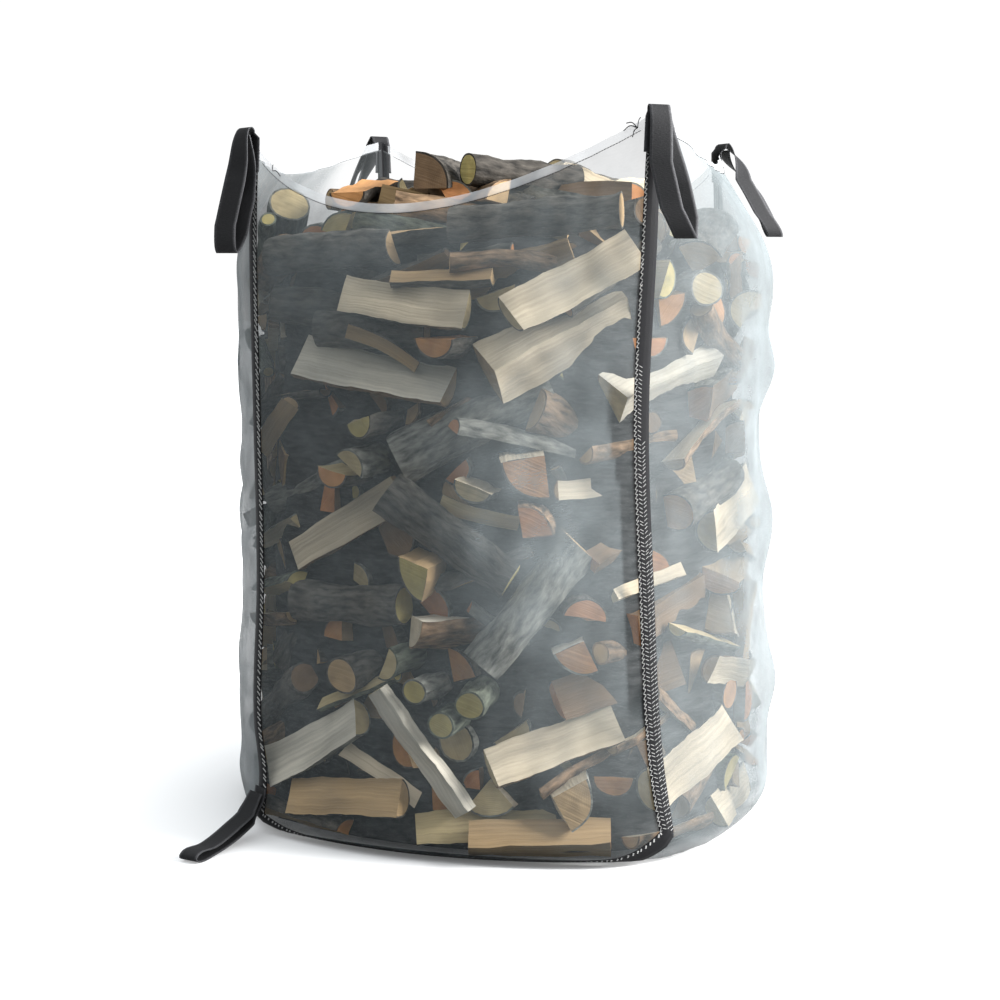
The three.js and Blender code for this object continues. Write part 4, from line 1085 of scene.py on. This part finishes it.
# Near-black body behind the logs, painted shade for the shadow deep in the pile: height, and the share of
# the bag's own section at the middle of the front, at the middle of the right wall and at the corners
CORE_ROWS = np.array([
    (0.019, 0.01, 0.01, 0.01),
    (0.02, 0.88, 0.88, 0.88),
    (0.025, 0.92, 0.92, 0.92),
    (0.035, 0.9, 0.91, 0.91),
    (0.08, 0.82, 0.88, 0.9),
    (0.3, 0.79, 0.86, 0.88),
    (1.2, 0.79, 0.86, 0.88),
    (1.34, 0.77, 0.82, 0.82),
    (1.42, 0.62, 0.62, 0.62),
    (1.48, 0.36, 0.36, 0.36),
    (1.5, 0.01, 0.01, 0.01),
])


def painted_shade_core():
    """Near-black body behind the logs, as painted shade: the bag's section drawn in by a share that grows
    towards the corners.
    """
    across, z = np.meshgrid(np.arange(16) / 16, CORE_ROWS[:, 0])
    corner = np.abs(2 * across - 1) ** 3
    walls = []
    for column, wall in ((1, "front"), (2, "right")):
        middle, end = CORE_ROWS[:, column, None], CORE_ROWS[:, 3, None]
        points = wall_at(wall, across, z)
        points[..., :2] *= (middle + (end - middle) * corner)[..., None]
        walls.append(points)
    rings = np.concatenate([*walls, *map(half_turn, walls)], axis=1)
    count = rings.shape[0] * rings.shape[1]
    # Its near-black paint stands for shade deep in the pile
    return {"points": rings.reshape(-1, 3), "faces": [grid_faces(*rings.shape[:2], closed=True)],
            "zone": np.zeros(count), "paint": np.full((count, 3), 0.042), "ring": np.zeros(count),
            "uv": rings[..., [0, 2]].reshape(-1, 2)}


# Rounds of filling: where the logs are thrown, their least and most thickness, how many places are tried,
# and how far from the cloth they may lie, or on top how many thicknesses deep
FILL_ROUNDS = [
    (thrown_on_top, 0.09, 0.12, 1500, 1.3),
    (thrown_along_foot, 0.06, 0.085, 3000, 0.02),
    (thrown_at_walls, 0.095, 0.125, 6000, 0.03),
    (thrown_at_walls, 0.07, 0.095, 9000, 0.04),
    (thrown_on_top, 0.06, 0.09, 1500, 1.3),
    (thrown_along_foot, 0.04, 0.06, 3000, 0.04),
    (thrown_along_foot, 0.03, 0.042, 3000, 0.05),
    (thrown_at_walls, 0.045, 0.07, 9000, 0.06),
    (thrown_at_walls, 0.07, 0.1, 9000, 0.14),
    (thrown_at_walls, 0.035, 0.05, 6000, 0.1),
    (thrown_on_top, 0.06, 0.09, 4000, 1.2),
    (thrown_on_top, 0.04, 0.06, 5000, 1.2),
]
turned_logs = {name: turned_log(log) for name, log in node_logs.items() if "top" not in name}
heap_meshes = [log_mesh(log, LOG_WOOD[name], 10, 3) for name, log in turned_logs.items()]
filling = fill_logs([*node_logs.values(), *turned_logs.values()])
for log in filling:
    heap_meshes.append(log_mesh(log, FILL_WOODS[rng.integers(len(FILL_WOODS))], 8, 2))
heap = log_object("wood_heap", [*heap_meshes, painted_shade_core()])


# Materials
def new_material(name):
    """A material with an empty node tree, its surface shader and its output joined."""
    material = bpy.data.materials.new(name)
    material.use_nodes = True
    nodes = material.node_tree.nodes
    return material, nodes, material.node_tree.links, nodes["Principled BSDF"]


def attribute(nodes, name):
    """Node that reads a named attribute."""
    node = nodes.new("ShaderNodeAttribute")
    node.attribute_name = name
    return node


def feed(links, socket, value):
    """Gives a socket a plain value, or joins another node's output to it."""
    if isinstance(value, (int, float, tuple)):
        socket.default_value = value
    else:
        links.new(value, socket)


def math_node(nodes, links, operation, a, b=None, c=None):
    """Output of a sum on sockets or plain numbers."""
    node = nodes.new("ShaderNodeMath")
    node.operation = operation
    for socket, value in zip(node.inputs, (a, b, c)):
        if value is not None:
            feed(links, socket, value)
    return node.outputs[0]


def colour_mix(nodes, links, share, a, b, blend="MIX"):
    """Two colours, or sockets that carry them, mixed by a share or multiplied."""
    node = nodes.new("ShaderNodeMix")
    node.data_type = "RGBA"
    node.blend_type = blend
    for key, value in (("Factor", share), (6, a), (7, b)):
        feed(links, node.inputs[key], value)
    return node.outputs[2]


def noise(nodes, links, vector, scale, detail=3.0, stretch=(1, 1, 1)):
    """Smooth noise of a vector stretched along its axes."""
    mapping = nodes.new("ShaderNodeMapping")
    mapping.inputs["Scale"].default_value = stretch
    links.new(vector, mapping.inputs["Vector"])
    node = nodes.new("ShaderNodeTexNoise")
    node.inputs["Scale"].default_value = scale
    node.inputs["Detail"].default_value = detail
    links.new(mapping.outputs[0], node.inputs["Vector"])
    return node.outputs["Fac"]


def ranged(nodes, links, value, low, high, to_low, to_high):
    """Value moved from one range to another and held inside it."""
    node = nodes.new("ShaderNodeMapRange")
    for socket, number in zip(list(node.inputs)[1:5], (low, high, to_low, to_high)):
        socket.default_value = number
    links.new(value, node.inputs[0])
    return node.outputs[0]


def blended(nodes, links, share, a, b):
    """Mix of two numbers by a share."""
    node = nodes.new("ShaderNodeMix")
    node.data_type = "FLOAT"
    links.new(share, node.inputs["Factor"])
    links.new(a, node.inputs[2])
    links.new(b, node.inputs[3])
    return node.outputs[0]


def bump(nodes, links, shader, height, distance):
    """Relief of a height in metres on a surface shader."""
    node = nodes.new("ShaderNodeBump")
    node.inputs["Distance"].default_value = distance
    node.inputs["Strength"].default_value = 1.0
    links.new(height, node.inputs["Height"])
    links.new(node.outputs[0], shader.inputs["Normal"])


def wood_material():
    """Bark, split faces and end grain by zone: paint times stretched noise, fibres, or rings."""
    material, nodes, links, shader = new_material("firewood")
    uv = nodes.new("ShaderNodeTexCoord").outputs["UV"]
    zone = attribute(nodes, "zone").outputs["Fac"]
    ring = attribute(nodes, "ring").outputs["Fac"]
    paint = attribute(nodes, "paint").outputs["Color"]
    plates = noise(nodes, links, uv, 40, 4.0, (0.6, 1.6, 1))
    bark = ranged(nodes, links, plates, 0.32, 0.68, 0.25, 1.6)
    fibre = noise(nodes, links, uv, 30, 4.0, (0.12, 5.0, 1))
    streak = noise(nodes, links, uv, 8, 2.0, (0.5, 2.4, 1))
    fine = ranged(nodes, links, fibre, 0.3, 0.7, 0.84, 1.12)
    broad = ranged(nodes, links, streak, 0.3, 0.7, 0.72, 1.16)
    split = math_node(nodes, links, "MULTIPLY", fine, broad)
    blotch = noise(nodes, links, uv, 26, 3.0)
    wobble = math_node(nodes, links, "MULTIPLY_ADD", blotch, 0.006, ring)
    rings = math_node(nodes, links, "SINE", math_node(nodes, links, "MULTIPLY", wobble, 1500.0))
    grain = math_node(nodes, links, "MULTIPLY_ADD", rings, 0.09, 1.0)
    end = math_node(nodes, links, "MULTIPLY", grain, ranged(nodes, links, blotch, 0.3, 0.7, 0.75, 1.15))
    past_bark = math_node(nodes, links, "GREATER_THAN", zone, 0.5)
    past_split = math_node(nodes, links, "GREATER_THAN", zone, 1.5)
    factor = blended(nodes, links, past_split, blended(nodes, links, past_bark, bark, split), end)
    links.new(colour_mix(nodes, links, 1.0, paint, factor, "MULTIPLY"), shader.inputs["Base Color"])
    shader.inputs["Roughness"].default_value = 0.85
    shader.inputs["Specular IOR Level"].default_value = 0.2
    relief = blended(nodes, links, past_bark, plates, math_node(nodes, links, "MULTIPLY", fibre, 0.35))
    bump(nodes, links, shader, relief, 0.006)
    return material


def net_material():
    """Fine see-through net: mid grey yarn that covers the veil's share, a little more on its threads."""
    material, nodes, links, shader = new_material("net")
    uv = nodes.new("ShaderNodeTexCoord").outputs["UV"]
    veil = attribute(nodes, "veil").outputs["Fac"]
    patch = noise(nodes, links, uv, 9, 3.0)
    slub = noise(nodes, links, uv, 260, 2.0, (0.25, 1.6, 1))
    uneven = math_node(nodes, links, "MULTIPLY", ranged(nodes, links, patch, 0.3, 0.7, 0.8, 1.2),
                       ranged(nodes, links, slub, 0.3, 0.7, 0.94, 1.06))
    links.new(math_node(nodes, links, "MULTIPLY", veil, uneven), shader.inputs["Alpha"])
    hem = attribute(nodes, "hem").outputs["Fac"]
    # The tone multiplies the yarn's grey: painted light in the front's hazy places, painted shade on the
    # side strip
    tone = attribute(nodes, "tone").outputs["Fac"]
    tint = colour_mix(nodes, links, hem, (0.222, 0.25, 0.258, 1), (0.86, 0.88, 0.9, 1))
    links.new(colour_mix(nodes, links, 1.0, tint, tone, "MULTIPLY"), shader.inputs["Base Color"])
    shader.inputs["Roughness"].default_value = 0.6
    shader.inputs["Specular IOR Level"].default_value = 0.2
    return material


def strap_material(name, colour, edge_colour):
    """Black webbing: fine ribs across it, a little lighter towards its edges."""
    material, nodes, links, shader = new_material(name)
    uv = nodes.new("ShaderNodeTexCoord").outputs["UV"]
    edge_mix = attribute(nodes, "edge_mix").outputs["Fac"]
    ribs = noise(nodes, links, uv, 300, 2.0, (0.5, 2.0, 1))
    share = math_node(nodes, links, "MULTIPLY", ranged(nodes, links, edge_mix, 0.7, 1.0, 0.0, 1.0),
                      ranged(nodes, links, ribs, 0.35, 0.65, 0.4, 1.0))
    links.new(colour_mix(nodes, links, share, colour, edge_colour), shader.inputs["Base Color"])
    shader.inputs["Roughness"].default_value = 0.7
    shader.inputs["Specular IOR Level"].default_value = 0.12
    bump(nodes, links, shader, ribs, 0.0008)
    return material


def plain_material(name, colour, roughness=0.7):
    """One colour."""
    material, _, _, shader = new_material(name)
    shader.inputs["Base Color"].default_value = colour
    shader.inputs["Roughness"].default_value = roughness
    shader.inputs["Specular IOR Level"].default_value = 0.2
    return material


def floor_material():
    """Pale floor whose painted glow grows with distance from the bag, to meet the white behind and paint
    shadow near it.
    """
    material = plain_material("floor_white", (0.72, 0.72, 0.72, 1), 0.9)
    nodes, links = material.node_tree.nodes, material.node_tree.links
    away = nodes.new("ShaderNodeVectorMath")
    away.operation = "LENGTH"
    links.new(nodes.new("ShaderNodeTexCoord").outputs["Object"], away.inputs[0])
    glow = nodes["Principled BSDF"].inputs
    glow["Emission Color"].default_value = (1, 1, 1, 1)
    # Painted light and shadow: the glow is weakest near the bag, which darkens the floor round it
    links.new(ranged(nodes, links, away.outputs["Value"], 0.5, 1.5, 0.06, 0.8), glow["Emission Strength"])
    return material


firewood = wood_material()
net = net_material()
tape_black = strap_material("tape", (0.009, 0.009, 0.01, 1), (0.014, 0.014, 0.015, 1))
webbing = strap_material("webbing", (0.018, 0.018, 0.019, 1), (0.09, 0.09, 0.095, 1))
white_thread = plain_material("white_thread", (0.42, 0.42, 0.41, 1))
dark_thread = plain_material("dark_thread", (0.03, 0.03, 0.032, 1))


def finish_piece(obj, material, slot, *nodes):
    """Gives a piece its material, hangs it on the bag, and lets it stand for its plain solids; its slot is
    not used.
    """
    obj.data.materials.append(material)
    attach(obj, "root")
    if nodes:
        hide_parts(*nodes)
    return obj


finish_piece(front_panel, net, "net_cloth", "front_panel")
finish_piece(back_panel, net, "net_cloth", "back_panel")
finish_piece(side_panel, net, "net_cloth", "side_base_panel")
finish_piece(front_tape, tape_black, "seam_tape", "front_seam_tape")
finish_piece(back_tape, tape_black, "seam_tape", "back_seam_tape")
finish_piece(dot_threads, white_thread, "seam_tape")
finish_piece(white_threads, white_thread, "seam_tape")
finish_piece(hem_stitches, dark_thread, "seam_tape")
finish_piece(tail_threads, dark_thread, "seam_tape")
for name, obj in loop_objects.items():
    finish_piece(obj, webbing, "webbing", name)
for name, obj in log_objects.items():
    barky = node_logs[name]["cut"] in ("round", "half")
    finish_piece(obj, firewood, "bark" if barky else "split_wood", name)
finish_piece(heap, firewood, "stacked_wood", "log_heap")

# Floor, light and camera
floor_mesh = bpy.data.meshes.new("floor")
floor_corners = [(x * FLOOR_HALF, y * FLOOR_HALF, -0.001) for x, y in ((-1, -1), (1, -1), (1, 1), (-1, 1))]
floor_mesh.from_pydata(floor_corners, [], [(0, 1, 2, 3)])
floor = bpy.data.objects.new("floor", floor_mesh)
floor.data.materials.append(floor_material())
bpy.context.scene.collection.objects.link(floor)
floor.visible_diffuse = False


def area_light(name, place, target, size, power):
    """Square lamp at a place, facing a target."""
    data = bpy.data.lights.new(name, "AREA")
    data.shape = "SQUARE"
    data.size = size
    data.energy = power
    lamp = bpy.data.objects.new(name, data)
    way = np.array(target, float) - np.array(place, float)
    flat = math.hypot(way[0], way[1])
    lamp.location = place
    lamp.rotation_euler = (math.atan2(flat, -way[2]), 0, math.atan2(-way[0], way[1]))
    bpy.context.scene.collection.objects.link(lamp)
    return lamp


area_light("key_right", (5.4, 0.3, 3.2), (0.3, 0, 0.8), 3.0, 1350)


def studio_world():
    """White behind the bag, and a weaker light all round it, weakest from below."""
    world = bpy.data.worlds.new("studio")
    world.use_nodes = True
    nodes, links = world.node_tree.nodes, world.node_tree.links
    seen = nodes["Background"]
    seen.inputs["Color"].default_value = (1, 1, 1, 1)
    seen.inputs["Strength"].default_value = 1.05
    shed = nodes.new("ShaderNodeBackground")
    shed.inputs["Color"].default_value = (0.93, 0.97, 1.0, 1)
    ways = nodes.new("ShaderNodeSeparateXYZ")
    links.new(nodes.new("ShaderNodeTexCoord").outputs["Generated"], ways.inputs[0])
    links.new(ranged(nodes, links, ways.outputs["Z"], -0.1, 0.8, 0.12, 1.45), shed.inputs["Strength"])
    chosen = nodes.new("ShaderNodeMixShader")
    links.new(nodes.new("ShaderNodeLightPath").outputs["Is Camera Ray"], chosen.inputs[0])
    links.new(shed.outputs[0], chosen.inputs[1])
    links.new(seen.outputs[0], chosen.inputs[2])
    links.new(chosen.outputs[0], nodes["World Output"].inputs["Surface"])
    return world


scene = bpy.context.scene
scene.world = studio_world()
scene.view_settings.view_transform = "Standard"

camera_data = bpy.data.cameras.new("camera")
camera_data.lens = CAMERA_LENS
camera_data.sensor_width = 36
camera_data.shift_x = CAMERA_SHIFT
camera = bpy.data.objects.new("camera", camera_data)
azimuth = math.radians(CAMERA_AZIMUTH)
camera.location = (CAMERA_DISTANCE * math.sin(azimuth), -CAMERA_DISTANCE * math.cos(azimuth), CAMERA_HEIGHT)
camera.rotation_euler = (math.radians(90 - CAMERA_DOWN), 0, azimuth)
scene.collection.objects.link(camera)
scene.camera = camera
